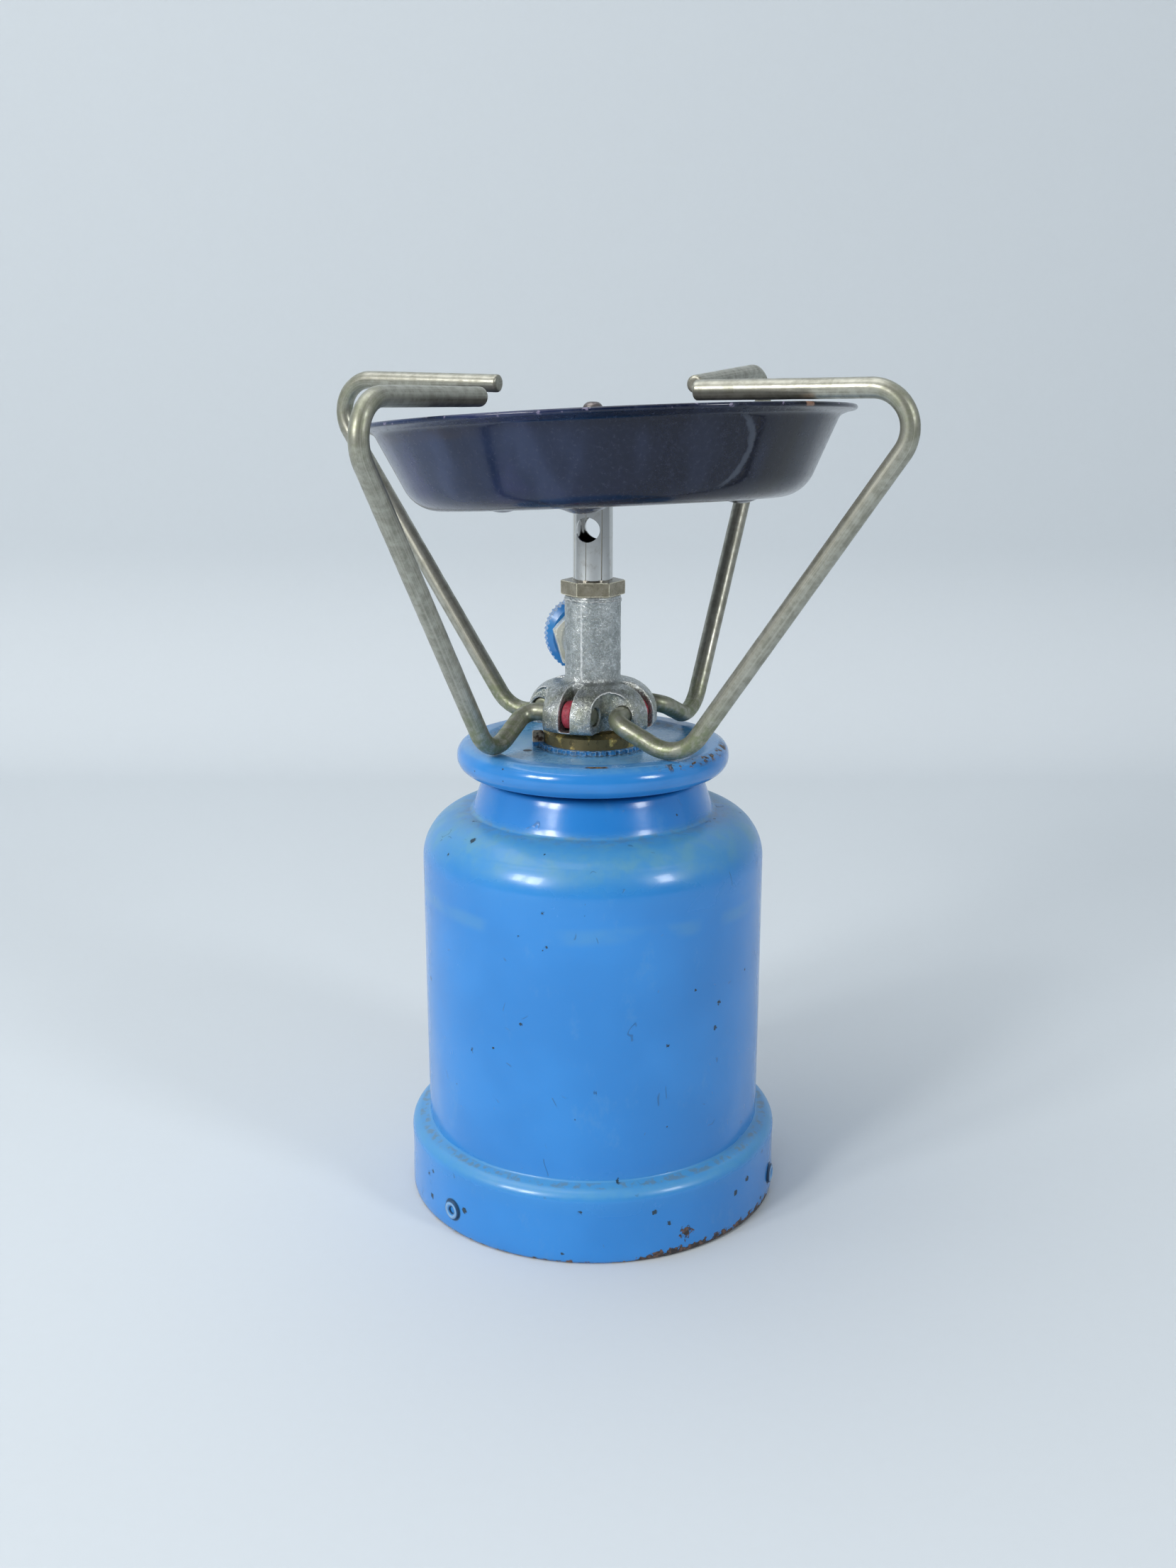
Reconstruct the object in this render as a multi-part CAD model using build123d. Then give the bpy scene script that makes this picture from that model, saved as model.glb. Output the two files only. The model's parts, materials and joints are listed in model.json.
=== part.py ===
from build123d import *
import os
from math import cos, radians, sin, sqrt

# Camping stove that screws onto a pierceable gas cartridge held inside its housing.
# Origin: centre of the housing's base, on the surface it stands on. +Z up, front is -Y.
# Azimuths are degrees from the front, positive towards +X. Lengths are millimetres.

# ---- driving dimensions ----
SHEET = 0.8                    # housing and disc sheet thickness
FIT = 0.05                     # radial clearance of a part that turns or slides in a hole
TOUCH = 0.02                   # gap between parts that are clamped or screwed together

# housing
SKIRT_R = 52.6
SKIRT_TOP = 20.6
BODY_R = 47.4
SHOULDER_TOP = 111.4
SHOULDER_BEND_R = 12.6
NECK_BASE_R = 33.6
NECK_TOP_R = 30.2
NECK_TOP = 121.4
NECK_BORE_R = 17.2
RIVET_AZIMUTHS = (-47.0, 73.0, 193.0)
RIVET_Z = 6.8
RIVET_HOLE_R = 1.7
HEM_WIDTH = 2.2                # how far the skirt's rolled hem reaches in
NECK_RING_DEPTH = 6.5
NECK_RING_SEAT = 3.0           # how far the ring's shoulder reaches under the neck

# gas cartridge and what holds it
CARTRIDGE_R = 45.0
CARTRIDGE_BASE = 4.57
CARTRIDGE_TOP = 101.2
PLATE_Z = 4.1                  # mid height of the base plate
PLATE_R = 46.3
PLATE_SHEET = 0.9
LUG_WIDTH = 11.0
LUG_SHEET = 1.0
TAB_WIDTH = 13.0               # the plate's three bayonet tabs
FINGER_HOLE_R = 6.5
FINGER_HOLE_OUT = 22.0
CARTRIDGE_WALL = 0.4

# threaded bush and hand disc
BUSH_THREAD_R = 12.0
BUSH_FLANGE_R = 13.7
BUSH_FLANGE_BASE = 130.5
HEAD_BASE = 135.2              # underside of the hub casting
DISC_R = 37.4
DISC_RIM_TOP = 130.85
DISC_RIM_HEIGHT = 8.0
DISC_WELL_TOP = 129.4
DISC_WELL_R = 27.8
VENT_AZIMUTH = -65.0
VENT_OUT = 19.2
VENT_R = 1.1
NOSE_Z = CARTRIDGE_TOP + 2.3   # lower end of the bush
NEEDLE_R = 1.5
NEEDLE_HEAD_R = 3.0
WASHER_R = 15.0
WASHER_TEETH = 34
TOOTH_GAP_R = 0.6
TAB_AZIMUTH = -78.0            # the washer's one tab that is bent up
TAB_HEIGHT = 4.3
TAB_REACH = 3.0                # radially
TAB_THICKNESS = 1.2

# hub casting
HUB_AZIMUTH = -26.9            # first of its four lobes
HUB_R = 17.6
HUB_TOP = 147.3
HUB_CAP_R = 8.5                # rounding of the hub's top edge
LOBE_WIDTH = 14.4
SLOT_WIDTH = 3.3               # for the friction ring
SLOT_ROOT = 8.3
SLOT_FLOOR = HEAD_BASE + 0.6
POCKET_R = 6.3                 # arch over the pocket between two lobes
POCKET_Z = 139.6
COLUMN_R = 7.6
COLUMN_TOP = 170.7
LOBE_CORNER_R = 2.6
CHAMBER_R = 6.0
CHAMBER_BASE = 163.5

# valve and control knob
VALVE_AZIMUTH = -171.5
VALVE_Z = 156.7
BOSS_R = 7.2
BOSS_END = 11.0
GLAND_R = 4.9
GLAND_AF = 16.4
GLAND_TURN = 44.0              # the way the gland nut happens to be tightened
STEM_R = 2.0
THREAD_R = 2.85
KNOB_R = 10.6
KNOB_NEAR = 16.6
KNOB_FAR = 23.6
KNOB_SCALLOPS = 46
SCALLOP_R = 0.55
SCALLOP_DEPTH = 0.38
SCREW_R = 0.93
SEAT_R = 1.2                   # gas way in front of the spindle's cone
SEAL_OUT = 7.4                 # where the stem's seal sits, out from the axis

# jet, tube and burner
NUT_AF = 15.0
NUT_TOP = 174.5
TUBE_R = 5.35
TUBE_WALL = 0.65
TUBE_TOP = 203.4
AIR_HOLE_R = 3.3
AIR_HOLE_Z = 188.2
AIR_HOLE_AZIMUTH = -18.0
COLLAR_R = 15.0
BURNER_R = 15.5
BURNER_PORTS = 24
BURNER_CUP_R = 13.6
BURNER_THROAT_R = 8.0
CAP_RIBS = 8
BURNER_TOP = 221.0

# bowl, which sits loose between the collar and the burner and leans
BOWL_CENTRE = (4.4, -1.5, 194.75)
BOWL_BACK_LEAN = 3.8
BOWL_SIDE_LEAN = 2.4
BOWL_RIM_R = 64.6
BOWL_WALL_R = 60.4
BOWL_FOOT_R = 50.6
BOWL_DEPTH = 21.6
BOWL_SHEET = 0.7
BOWL_HOLE_R = 10.4
BOWL_BEAD_R = 0.65
BOWL_HUB_R = 19.8
BOWL_KNUCKLE_R = 10.0          # bend between the bowl's floor and its wall
BOWL_FEET = (-10.0, 110.0, 230.0)
BOWL_FOOT_OUT = 38.5
BOWL_PAD_R = 5.6
BOWL_PAD_DROP = 1.6
BOWL_HUB_LIFT = 4.35           # the centre is pressed up by this much
BOWL_MID = 198.87              # height at which the bowl's hub plate crosses the tube's axis
BOWL_PLAY = 3.3                # gap between the collar and the burner for that plate

# pot arms, in each arm's own plane: distance out from the axis, and height
WIRE_R = 2.5
PIN_OUT, PIN_Z = 12.5, 139.8
FOOT_OUT, FOOT_Z = 32.3, 130.57
PEAK_OUT, PEAK_Z = 96.1, 225.4
TIP_OUT, TIP_Z = 35.3, 224.2
ARM_OFFSET = 13.9              # how far the arm's plane stands off the axis
PIN_END = 6.6                  # the pin ends this far beyond the lobe's middle
PIN_CLEARANCE = 0.08
BEND_R = (4.5, 10.5, 9.3)
RING_R = 3.8
RING_WIDTH = 3.0
ARM_NAMES = ("front_left", "front_right", "rear_right", "rear_left")
# the four wires are bent by hand, so each differs a little from the others
ARM_LIFT = (0.0, 0.0, 2.5, 0.0)       # degrees it is swung up from its rest on the disc
ARM_SLIDE = (0.0, 0.0, 1.3, 0.0)      # how far it is pulled out along its pin
PEAK_SHIFT = ((-1.2, -1.5), (1.2, 0.1), (0.0, 0.0), (0.9, 1.1))
TIP_SHIFT = ((-1.2, -1.5), (-0.4, 0.1), (0.0, 0.0), (0.9, 1.1))

PARTS = {}


# ---- helpers ----
def turned(points, radii=None):
    """A solid of revolution about Z from a closed outline of (radius, height) points."""
    if radii is None:
        line = Polyline(*points, close=True)
    else:
        line = FilletPolyline(*points, radius=radii, close=True)
    return revolve(Plane.XZ * make_face(line), Axis.Z)


def turned_sheet(points, radii, thickness):
    """A spun or pressed sheet part: the path of the sheet's middle, turned about Z."""
    path = FilletPolyline(*points, radius=radii)
    return revolve(Plane.XZ * trace(path, line_width=thickness), Axis.Z)


def tube(outer, inner, low, high):
    """A plain ring or tube about Z between two heights."""
    return turned([(inner, low), (outer, low), (outer, high), (inner, high)])


def rod(radius, low, high):
    """A plain cylinder about Z between two heights."""
    return Pos(0, 0, low) * Cylinder(radius, high - low, align=(Align.CENTER, Align.CENTER, Align.MIN))


def hexagon(across_flats, low, high, turn, bevel):
    """A hexagonal prism about Z whose corners are turned off to a bevel."""
    corner_r = across_flats / sqrt(3)
    prism = extrude(Plane.XY.offset(low) * RegularPolygon(corner_r, 6, rotation=turn), high - low)
    outline = [(0, low), (corner_r - bevel, low), (corner_r + TOUCH, low + bevel)]
    outline += [(corner_r + TOUCH, high - bevel), (corner_r - bevel, high), (0, high)]
    return prism & turned(outline)


def outward(azimuth):
    """Unit vector that points away from the axis at an azimuth."""
    a = radians(azimuth)
    return Vector(sin(a), -cos(a), 0)


def side_plane(azimuth, height):
    """Plane whose Z points outward at an azimuth, with X upward, so L is local Z."""
    return Plane(origin=(0, 0, height), x_dir=(0, 0, 1), z_dir=outward(azimuth))


def lobe_plane(azimuth):
    """Plane of a hub lobe: local X outward, local Y up, local Z to the side its arm stands on."""
    a = radians(azimuth)
    return Plane(origin=(0, 0, 0), x_dir=(sin(a), -cos(a), 0), z_dir=(-cos(a), -sin(a), 0))


# ---- housing and base ----
def housing():
    """One drawn shell: rolled skirt hem, stepped skirt, body, shoulder and conical neck."""
    half = SHEET / 2
    path = [
        (SKIRT_R - HEM_WIDTH, half),
        (SKIRT_R - half, half),
        (SKIRT_R - half, SKIRT_TOP - half),
        (BODY_R - half, SKIRT_TOP + 0.6),
        (BODY_R - half, SHOULDER_TOP - half),
        (NECK_BASE_R - half, SHOULDER_TOP - half),
        (NECK_TOP_R - half, NECK_TOP - half),
        (NECK_BORE_R, NECK_TOP - half),
    ]
    shell = turned_sheet(path, [0.8, 3.2, 1.0, SHOULDER_BEND_R, 1.4, 1.4], SHEET)
    for azimuth in RIVET_AZIMUTHS:
        drill = side_plane(azimuth, RIVET_Z) * rod(RIVET_HOLE_R, SKIRT_R - 4, SKIRT_R + 2)
        shell -= drill
    return shell


def neck_ring():
    """Threaded ring brazed under the neck's mouth; the bush screws into it."""
    seat = NECK_TOP - SHEET
    outline = [
        (BUSH_THREAD_R, seat - NECK_RING_DEPTH),
        (NECK_BORE_R - TOUCH, seat - NECK_RING_DEPTH),
        (NECK_BORE_R + NECK_RING_SEAT, seat - NECK_RING_DEPTH + 1.5),
        (NECK_BORE_R + NECK_RING_SEAT, seat - TOUCH),
        (NECK_BORE_R - TOUCH, seat - TOUCH),
        (NECK_BORE_R - TOUCH, NECK_TOP),
        (BUSH_THREAD_R, NECK_TOP),
    ]
    return turned(outline)


def at_rivets(shape_at):
    """The same shape at each of the three rivet azimuths, as separate solids."""
    return Compound(children=[shape_at(azimuth) for azimuth in RIVET_AZIMUTHS])


def eyelet(azimuth):
    """Tubular eyelet through the skirt and its lug, flared inside."""
    skirt_in = SKIRT_R - SHEET
    outline = [
        (1.0, skirt_in - 1.9),
        (2.0, skirt_in - 1.9),
        (1.6, skirt_in - 1.1),
        (1.6, SKIRT_R + 0.1),
        (2.75, SKIRT_R + 0.1),
        (2.6, SKIRT_R + 0.55),
        (1.9, SKIRT_R + 0.8),
        (1.0, SKIRT_R + 0.35),
    ]
    return side_plane(azimuth, RIVET_Z) * turned(outline)


def lug(azimuth):
    """Angle bracket inside the skirt; its foot carries one tab of the base plate."""
    wall = SKIRT_R - SHEET - TOUCH
    leaf = tube(wall, wall - LUG_SHEET, 2.2, 12.0)
    foot = tube(wall, PLATE_R + 0.4, 2.2, PLATE_Z - 0.6)
    sector = Box(30, LUG_WIDTH, 40, align=(Align.MIN, Align.CENTER, Align.CENTER))
    piece = (leaf + foot) & (Rot(0, 0, azimuth - 90) * Pos(35, 0, 10) * sector)
    return piece - side_plane(azimuth, RIVET_Z) * rod(RIVET_HOLE_R, SKIRT_R - 6, SKIRT_R)


def base_plate():
    """Pressed plate that closes the base and carries the cartridge on three bayonet tabs."""
    dish = turned_sheet(
        [(9, PLATE_Z - 1.2), (34, PLATE_Z - 1.2), (37, PLATE_Z), (PLATE_R, PLATE_Z)],
        [1.0, 1.0],
        PLATE_SHEET,
    )
    half = PLATE_SHEET / 2
    ring = tube(PLATE_R + 4.2, PLATE_R - 1, PLATE_Z - half, PLATE_Z + half)
    for azimuth in RIVET_AZIMUTHS:
        sector = Box(30, TAB_WIDTH, 10, align=(Align.MIN, Align.CENTER, Align.CENTER))
        dish += ring & (Rot(0, 0, azimuth - 90) * Pos(35, 0, PLATE_Z) * sector)
        hole_at = outward(azimuth + 60) * FINGER_HOLE_OUT
        dish -= Pos(hole_at.X, hole_at.Y, 0) * rod(FINGER_HOLE_R, 0, 8)
    return dish


def gas_cartridge():
    """Thin steel cartridge with a dished base, pierced at the middle of its domed top."""
    half = CARTRIDGE_WALL / 2
    edge = CARTRIDGE_R - half
    path = [
        (0, CARTRIDGE_BASE + 4.5),
        (36, CARTRIDGE_BASE + 4.5),
        (41, CARTRIDGE_BASE + half),
        (edge, CARTRIDGE_BASE + half),
        (edge, CARTRIDGE_TOP - 10),
        (24, CARTRIDGE_TOP - half),
        (1.7, CARTRIDGE_TOP - half),
    ]
    return turned_sheet(path, [4, 1.2, 1.2, 5, 8], CARTRIDGE_WALL)


# ---- screwed head: seal, needle, bush and hand disc ----
def cartridge_seal():
    """Rubber ring between the bush's nose and the cartridge."""
    low = CARTRIDGE_TOP + TOUCH
    outline = [(2.2, low), (7.4, low), (7.9, low + 0.6), (7.9, low + 2.2), (2.2, low + 2.2)]
    return turned(outline)


def piercing_needle():
    """Hollow steel needle pressed up into the bush's nose."""
    tip = CARTRIDGE_TOP - 4.6
    outline = [
        (0.45, tip),
        (NEEDLE_R, tip + 3.0),
        (NEEDLE_R, NOSE_Z),
        (NEEDLE_HEAD_R, NOSE_Z),
        (NEEDLE_HEAD_R, NOSE_Z + 1.6),
        (NEEDLE_R, NOSE_Z + 1.6),
        (NEEDLE_R, NOSE_Z + 8),
        (0.4, NOSE_Z + 8),
        (0.4, tip),
    ]
    return turned(outline)


def threaded_bush():
    """Brass bush: nose over the seal, thread in the neck ring, flange above the disc."""
    outline = [
        (NEEDLE_HEAD_R + TOUCH, NOSE_Z),
        (8.4, NOSE_Z),
        (8.4, NOSE_Z + 6.5),
        (BUSH_THREAD_R - FIT, NOSE_Z + 8.5),
        (BUSH_THREAD_R - FIT, BUSH_FLANGE_BASE),
        (BUSH_FLANGE_R, BUSH_FLANGE_BASE),
        (BUSH_FLANGE_R, BUSH_FLANGE_BASE + 2.9),
        (BUSH_FLANGE_R - 1.5, BUSH_FLANGE_BASE + 4.0),
        (10.4, BUSH_FLANGE_BASE + 4.0),
        (10.4, HEAD_BASE - TOUCH),
        (1.0, HEAD_BASE - TOUCH),
        (1.0, NOSE_Z + 8.3),
        (NEEDLE_R + TOUCH, NOSE_Z + 8.1),
        (NEEDLE_R + TOUCH, NOSE_Z + 1.7),
        (NEEDLE_HEAD_R + TOUCH, NOSE_Z + 1.7),
    ]
    return turned(outline)


def hand_disc():
    """Pressed disc with a shallow well and a deep rolled rim, used to turn the head."""
    half = SHEET / 2
    rim_low = DISC_RIM_TOP - DISC_RIM_HEIGHT
    path = [
        (BUSH_THREAD_R, DISC_WELL_TOP - half),
        (DISC_WELL_R, DISC_WELL_TOP - half),
        (DISC_WELL_R + 2.4, DISC_RIM_TOP - half),
        (DISC_R - half, DISC_RIM_TOP - half),
        (DISC_R - half, rim_low + half),
        (DISC_R - 6.4, rim_low + half),
    ]
    disc = turned_sheet(path, [2.0, 1.6, 3.4, 3.4], SHEET)
    vent = outward(VENT_AZIMUTH) * VENT_OUT
    return disc - Pos(vent.X, vent.Y, 0) * rod(VENT_R, 120, 135)


def lock_washer():
    """Toothed washer that locks the bush to the disc, with one tab bent up beside the flange."""
    low = DISC_WELL_TOP + TOUCH
    high = BUSH_FLANGE_BASE - TOUCH
    washer = tube(WASHER_R, BUSH_THREAD_R, low, high)
    tooth_gap = Pos(WASHER_R + 0.1, 0, 0) * rod(TOOTH_GAP_R, low - 1, low + 2)
    washer -= [Rot(0, 0, i * 360 / WASHER_TEETH) * tooth_gap for i in range(WASHER_TEETH)]
    tab = Box(TAB_REACH, TAB_THICKNESS, TAB_HEIGHT, align=(Align.MIN, Align.CENTER, Align.MIN))
    tab = fillet(tab.edges().filter_by(Axis.Y).group_by(Axis.Z)[-1], 0.5)
    return washer + Rot(0, 0, TAB_AZIMUTH - 90) * Pos(BUSH_FLANGE_R + 0.15, 0, low) * tab


# ---- hub casting ----
def hub_casting():
    """Die casting: a domed hub with four slotted lobes for the arm pins, a column and a side boss."""
    body = turned(
        [(0, HEAD_BASE), (HUB_R, HEAD_BASE), (HUB_R, HUB_TOP), (COLUMN_R, HUB_TOP),
         (COLUMN_R, COLUMN_TOP), (0, COLUMN_TOP)],
        [0, 1.6, HUB_CAP_R, 1.4, 0.4, 0],
    )
    half = LOBE_WIDTH / 2
    corner = Rectangle(30, 30, align=(Align.MIN, Align.MIN))
    corner = fillet(corner.vertices().sort_by(Axis.X)[:2].sort_by(Axis.Y)[0], LOBE_CORNER_R)
    notch = extrude(Plane.XY.offset(HEAD_BASE - 1) * Pos(half, half, 0) * corner, 20)
    below = Box(40, 2 * POCKET_R, 10, align=(Align.MIN, Align.CENTER, Align.MAX))
    arch = Rot(0, 90, 0) * Cylinder(POCKET_R, 40, align=(Align.CENTER, Align.CENTER, Align.MIN))
    pocket = notch & Rot(0, 0, 45) * Pos(0, 0, POCKET_Z) * (arch + below)
    slot = Box(30, SLOT_WIDTH, 30, align=(Align.MIN, Align.CENTER, Align.MIN))
    pin_hole = Pos(PIN_OUT, PIN_Z, 0) * Cylinder(WIRE_R + PIN_CLEARANCE, LOBE_WIDTH + 4)
    for i in range(4):
        azimuth = HUB_AZIMUTH + 90 * i
        body -= Rot(0, 0, azimuth - 90) * pocket
        body -= Rot(0, 0, azimuth - 90) * Pos(SLOT_ROOT, 0, SLOT_FLOOR) * slot
        body -= lobe_plane(azimuth) * pin_hole
    valve = side_plane(VALVE_AZIMUTH, VALVE_Z)
    body += valve * rod(BOSS_R, 0, BOSS_END)
    body -= valve * rod(GLAND_R + TOUCH, 8.4, BOSS_END + 1)
    body -= valve * rod(4.0, 6.0, 9.0)
    body -= valve * rod(THREAD_R + FIT, 1.0, 7.0)
    body -= valve * rod(SEAT_R, -1.6, 2.0)
    body -= rod(0.7, HEAD_BASE - 1, VALVE_Z)
    riser = outward(VALVE_AZIMUTH) * 3.4
    body -= Pos(riser.X, riser.Y, 0) * rod(0.8, VALVE_Z, CHAMBER_BASE + 1)
    body -= rod(CHAMBER_R, CHAMBER_BASE, COLUMN_TOP + 1)
    return body


# ---- valve ----
def valve_spindle():
    """Needle valve spindle: cone, thread and stem, with its cone on the seat."""
    outline = [
        (0, 0.3),
        (0.3, 0.3),
        (0.85, 1.0),
        (2.2, 2.2),
        (THREAD_R, 2.6),
        (THREAD_R, 5.0),
        (STEM_R, 5.4),
        (STEM_R, KNOB_FAR - 0.4),
        (0, KNOB_FAR - 0.4),
    ]
    tapped = rod(SCREW_R + TOUCH, KNOB_FAR - 5.4, KNOB_FAR)
    return side_plane(VALVE_AZIMUTH, VALVE_Z) * (turned(outline) - tapped)


def stem_seal():
    """Rubber ring around the stem, under the gland nut."""
    torus = Pos(0, 0, SEAL_OUT) * Torus(3.0, 0.93)
    return side_plane(VALVE_AZIMUTH, VALVE_Z) * torus


def gland_nut():
    """Hexagonal nut that closes the valve bore around the stem."""
    head = hexagon(GLAND_AF, BOSS_END + TOUCH, BOSS_END + 4.0, GLAND_TURN, 0.7)
    spigot = rod(GLAND_R, 8.5, BOSS_END + 0.5)
    return side_plane(VALVE_AZIMUTH, VALVE_Z) * (head + spigot - rod(STEM_R + FIT, 8, BOSS_END + 5))


def control_knob():
    """Round knob with a scalloped edge and a recessed outer face."""
    outline = [
        (STEM_R + TOUCH, KNOB_NEAR),
        (8.8, KNOB_NEAR),
        (KNOB_R, KNOB_NEAR + 1.0),
        (KNOB_R, KNOB_FAR - 1.2),
        (KNOB_R - 1.2, KNOB_FAR),
        (6.8, KNOB_FAR),
        (6.2, KNOB_FAR - 1.2),
        (STEM_R + TOUCH, KNOB_FAR - 1.2),
    ]
    knob = turned(outline)
    groove = Pos(KNOB_R + SCALLOP_R - SCALLOP_DEPTH, 0, 0) * rod(SCALLOP_R, KNOB_NEAR - 1, KNOB_FAR + 1)
    grooves = [Rot(0, 0, i * 360 / KNOB_SCALLOPS) * groove for i in range(KNOB_SCALLOPS)]
    return side_plane(VALVE_AZIMUTH, VALVE_Z) * (knob - grooves)


def knob_screw():
    """Slotted screw that holds the knob on the stem."""
    face = KNOB_FAR - 0.35
    head = turned([(0, face), (3.4, face), (3.4, face + 0.9), (2.6, face + 1.7), (0, face + 2.0)])
    shank = rod(SCREW_R, face - 4.4, face + 0.2)
    slot = Pos(0, 0, face + 1.8) * Box(0.8, 8, 1.6)
    return side_plane(VALVE_AZIMUTH, VALVE_Z) * (head + shank - slot)


# ---- jet, tube and burner ----
def jet_filter():
    """Sintered bronze disc in the bottom of the jet chamber."""
    return rod(CHAMBER_R - TOUCH, CHAMBER_BASE + 0.9, CHAMBER_BASE + 2.0)


def jet():
    """Brass jet: a flange across the chamber and a nipple with a fine hole."""
    low = CHAMBER_BASE + 2.05
    outline = [
        (0.2, low),
        (CHAMBER_R - TOUCH, low),
        (CHAMBER_R - TOUCH, low + 1.6),
        (2.6, low + 1.6),
        (2.6, low + 6.0),
        (1.4, low + 7.6),
        (0.2, low + 7.6),
    ]
    return turned(outline)


def tube_nut():
    """Hexagonal nut: its spigot clamps the jet, its socket holds the burner tube."""
    spigot_low = CHAMBER_BASE + 3.7
    head = hexagon(NUT_AF, COLUMN_TOP + TOUCH, NUT_TOP, 0, 0.25)
    spigot = rod(CHAMBER_R - TOUCH, spigot_low, COLUMN_TOP + 0.5)
    bore = rod(3.4, spigot_low - 1, NUT_TOP + 1)
    socket = rod(TUBE_R + TOUCH, COLUMN_TOP + 1.0, NUT_TOP + 1)
    return head + spigot - bore - socket


def burner_tube():
    """Mixing tube, cross drilled for air above the nut."""
    pipe = tube(TUBE_R, TUBE_R - TUBE_WALL, COLUMN_TOP + 1.0 + TOUCH, TUBE_TOP)
    drill = Cylinder(AIR_HOLE_R, 30)
    return pipe - side_plane(AIR_HOLE_AZIMUTH, AIR_HOLE_Z) * drill


def bowl_collar():
    """Washer brazed on the tube under the bowl's raised centre."""
    top = BOWL_MID - BOWL_PLAY / 2
    washer = tube(COLLAR_R, TUBE_R + TOUCH, top - 1.0, top)
    sleeve = tube(TUBE_R + 1.4, TUBE_R + TOUCH, top - 1.8, top - 1.0)
    return washer + sleeve


def burner_base():
    """Burner cup: flange over the bowl's centre, throat and a flared body with flame slots."""
    low = BOWL_MID + BOWL_PLAY / 2
    outline = [
        (TUBE_R + TOUCH, low),
        (COLLAR_R, low),
        (COLLAR_R, low + 0.9),
        (9.0, low + 1.6),
        (BURNER_THROAT_R, low + 5.0),
        (BURNER_CUP_R, low + 9.5),
        (BURNER_CUP_R, low + 15.0),
        (12.4, low + 15.0),
        (12.4, low + 10.2),
        (6.6, low + 5.2),
        (TUBE_R + TOUCH, low + 3.6),
    ]
    cup = turned(outline)
    for i in range(BURNER_PORTS):
        port = Box(4, 1.0, 5, align=(Align.MIN, Align.CENTER, Align.MIN))
        cup -= Rot(0, 0, i * 360 / BURNER_PORTS) * Pos(11, 0, low + 11.2) * port
    return cup


def burner_cap():
    """Cap over the burner cup, with a wavy pressed edge."""
    low = BOWL_MID + BOWL_PLAY / 2 + 15.0 + TOUCH
    cap = turned(
        [(1.6, low), (BURNER_R, low), (BURNER_R, low + 0.7), (8, low + 2.2), (1.6, low + 2.2)]
    )
    rib = Pos(10.2, 0, low + 0.9) * Rot(0, 9, 0) * Box(7.6, 2.2, 2.0)
    for i in range(CAP_RIBS):
        turn = (i + 0.5) * 360 / CAP_RIBS
        cap += Rot(0, 0, turn) * rib & tube(BURNER_R, 5.0, low, low + 4)
    return cap


def cap_screw():
    """Domed screw that holds the burner cap, on a leg down to the burner cup's floor."""
    seat = BOWL_MID + BOWL_PLAY / 2 + 17.2 + 2 * TOUCH
    dome = turned([(0, seat), (2.7, seat), (2.7, BURNER_TOP), (0, BURNER_TOP)], [0, 0.2, 2.0, 0])
    return dome + rod(1.55, seat - 9.0, seat + 0.2)


def burner_bridge():
    """Bar across the burner cup that the cap's screw goes into."""
    z = BOWL_MID + BOWL_PLAY / 2 + 11.7
    bar = Pos(0, 0, z) * Box(24.0, 4.4, 1.6)
    return (bar & rod(12.35, z - 2, z + 2)) - rod(1.55 + TOUCH, z - 3, z + 3)


def windshield_bowl():
    """Spun bowl with a flared, beaded rim, a raised centre and three pressed feet."""
    mid = BOWL_SHEET / 2
    rim_z = BOWL_DEPTH + mid
    path = [
        (BOWL_HOLE_R, BOWL_HUB_LIFT),
        (BOWL_HUB_R, BOWL_HUB_LIFT),
        (22.6, mid),
        (BOWL_FOOT_R, mid),
        (BOWL_WALL_R, rim_z - 1.6),
        (BOWL_RIM_R, rim_z),
    ]
    bowl = turned_sheet(path, [1.4, 1.4, BOWL_KNUCKLE_R, 2.4], BOWL_SHEET)
    bowl += Pos(0, 0, rim_z - 0.1) * Torus(BOWL_RIM_R - 0.15, BOWL_BEAD_R)
    ball_r = (BOWL_PAD_R ** 2 + BOWL_PAD_DROP ** 2) / (2 * BOWL_PAD_DROP)
    for azimuth in BOWL_FEET:
        spot = outward(azimuth) * BOWL_FOOT_OUT
        ball = Pos(spot.X, spot.Y, ball_r - BOWL_PAD_DROP)
        under = Pos(spot.X, spot.Y, 0) * rod(BOWL_PAD_R + 0.5, -3, mid)
        over = Pos(spot.X, spot.Y, 0) * rod(BOWL_PAD_R + 0.5, -3, BOWL_SHEET + 0.3)
        bowl += ball * Sphere(ball_r) & under
        bowl -= ball * Sphere(ball_r - BOWL_SHEET) & over
    lean = Pos(*BOWL_CENTRE) * Rot(0, -BOWL_SIDE_LEAN, 0) * Rot(-BOWL_BACK_LEAN, 0, 0)
    return lean * bowl


# ---- pot arms ----
def rounded_wire(points, radii):
    """A path of straight runs joined by tangent arcs, in three dimensions."""
    runs = []
    start = points[0]
    for i, radius in enumerate(radii):
        corner = points[i + 1]
        back = (points[i] - corner).normalized()
        ahead = (points[i + 2] - corner).normalized()
        half_angle = radians(back.get_angle(ahead)) / 2
        reach = radius * cos(half_angle) / sin(half_angle)
        middle = (back + ahead).normalized() * (radius / sin(half_angle) - radius)
        arc_in = corner + back * reach
        arc_out = corner + ahead * reach
        runs.append(Edge.make_line(start, arc_in))
        runs.append(Edge.make_three_point_arc(arc_in, corner + middle, arc_out))
        start = arc_out
    runs.append(Edge.make_line(start, points[-1]))
    return Wire(runs)


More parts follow.
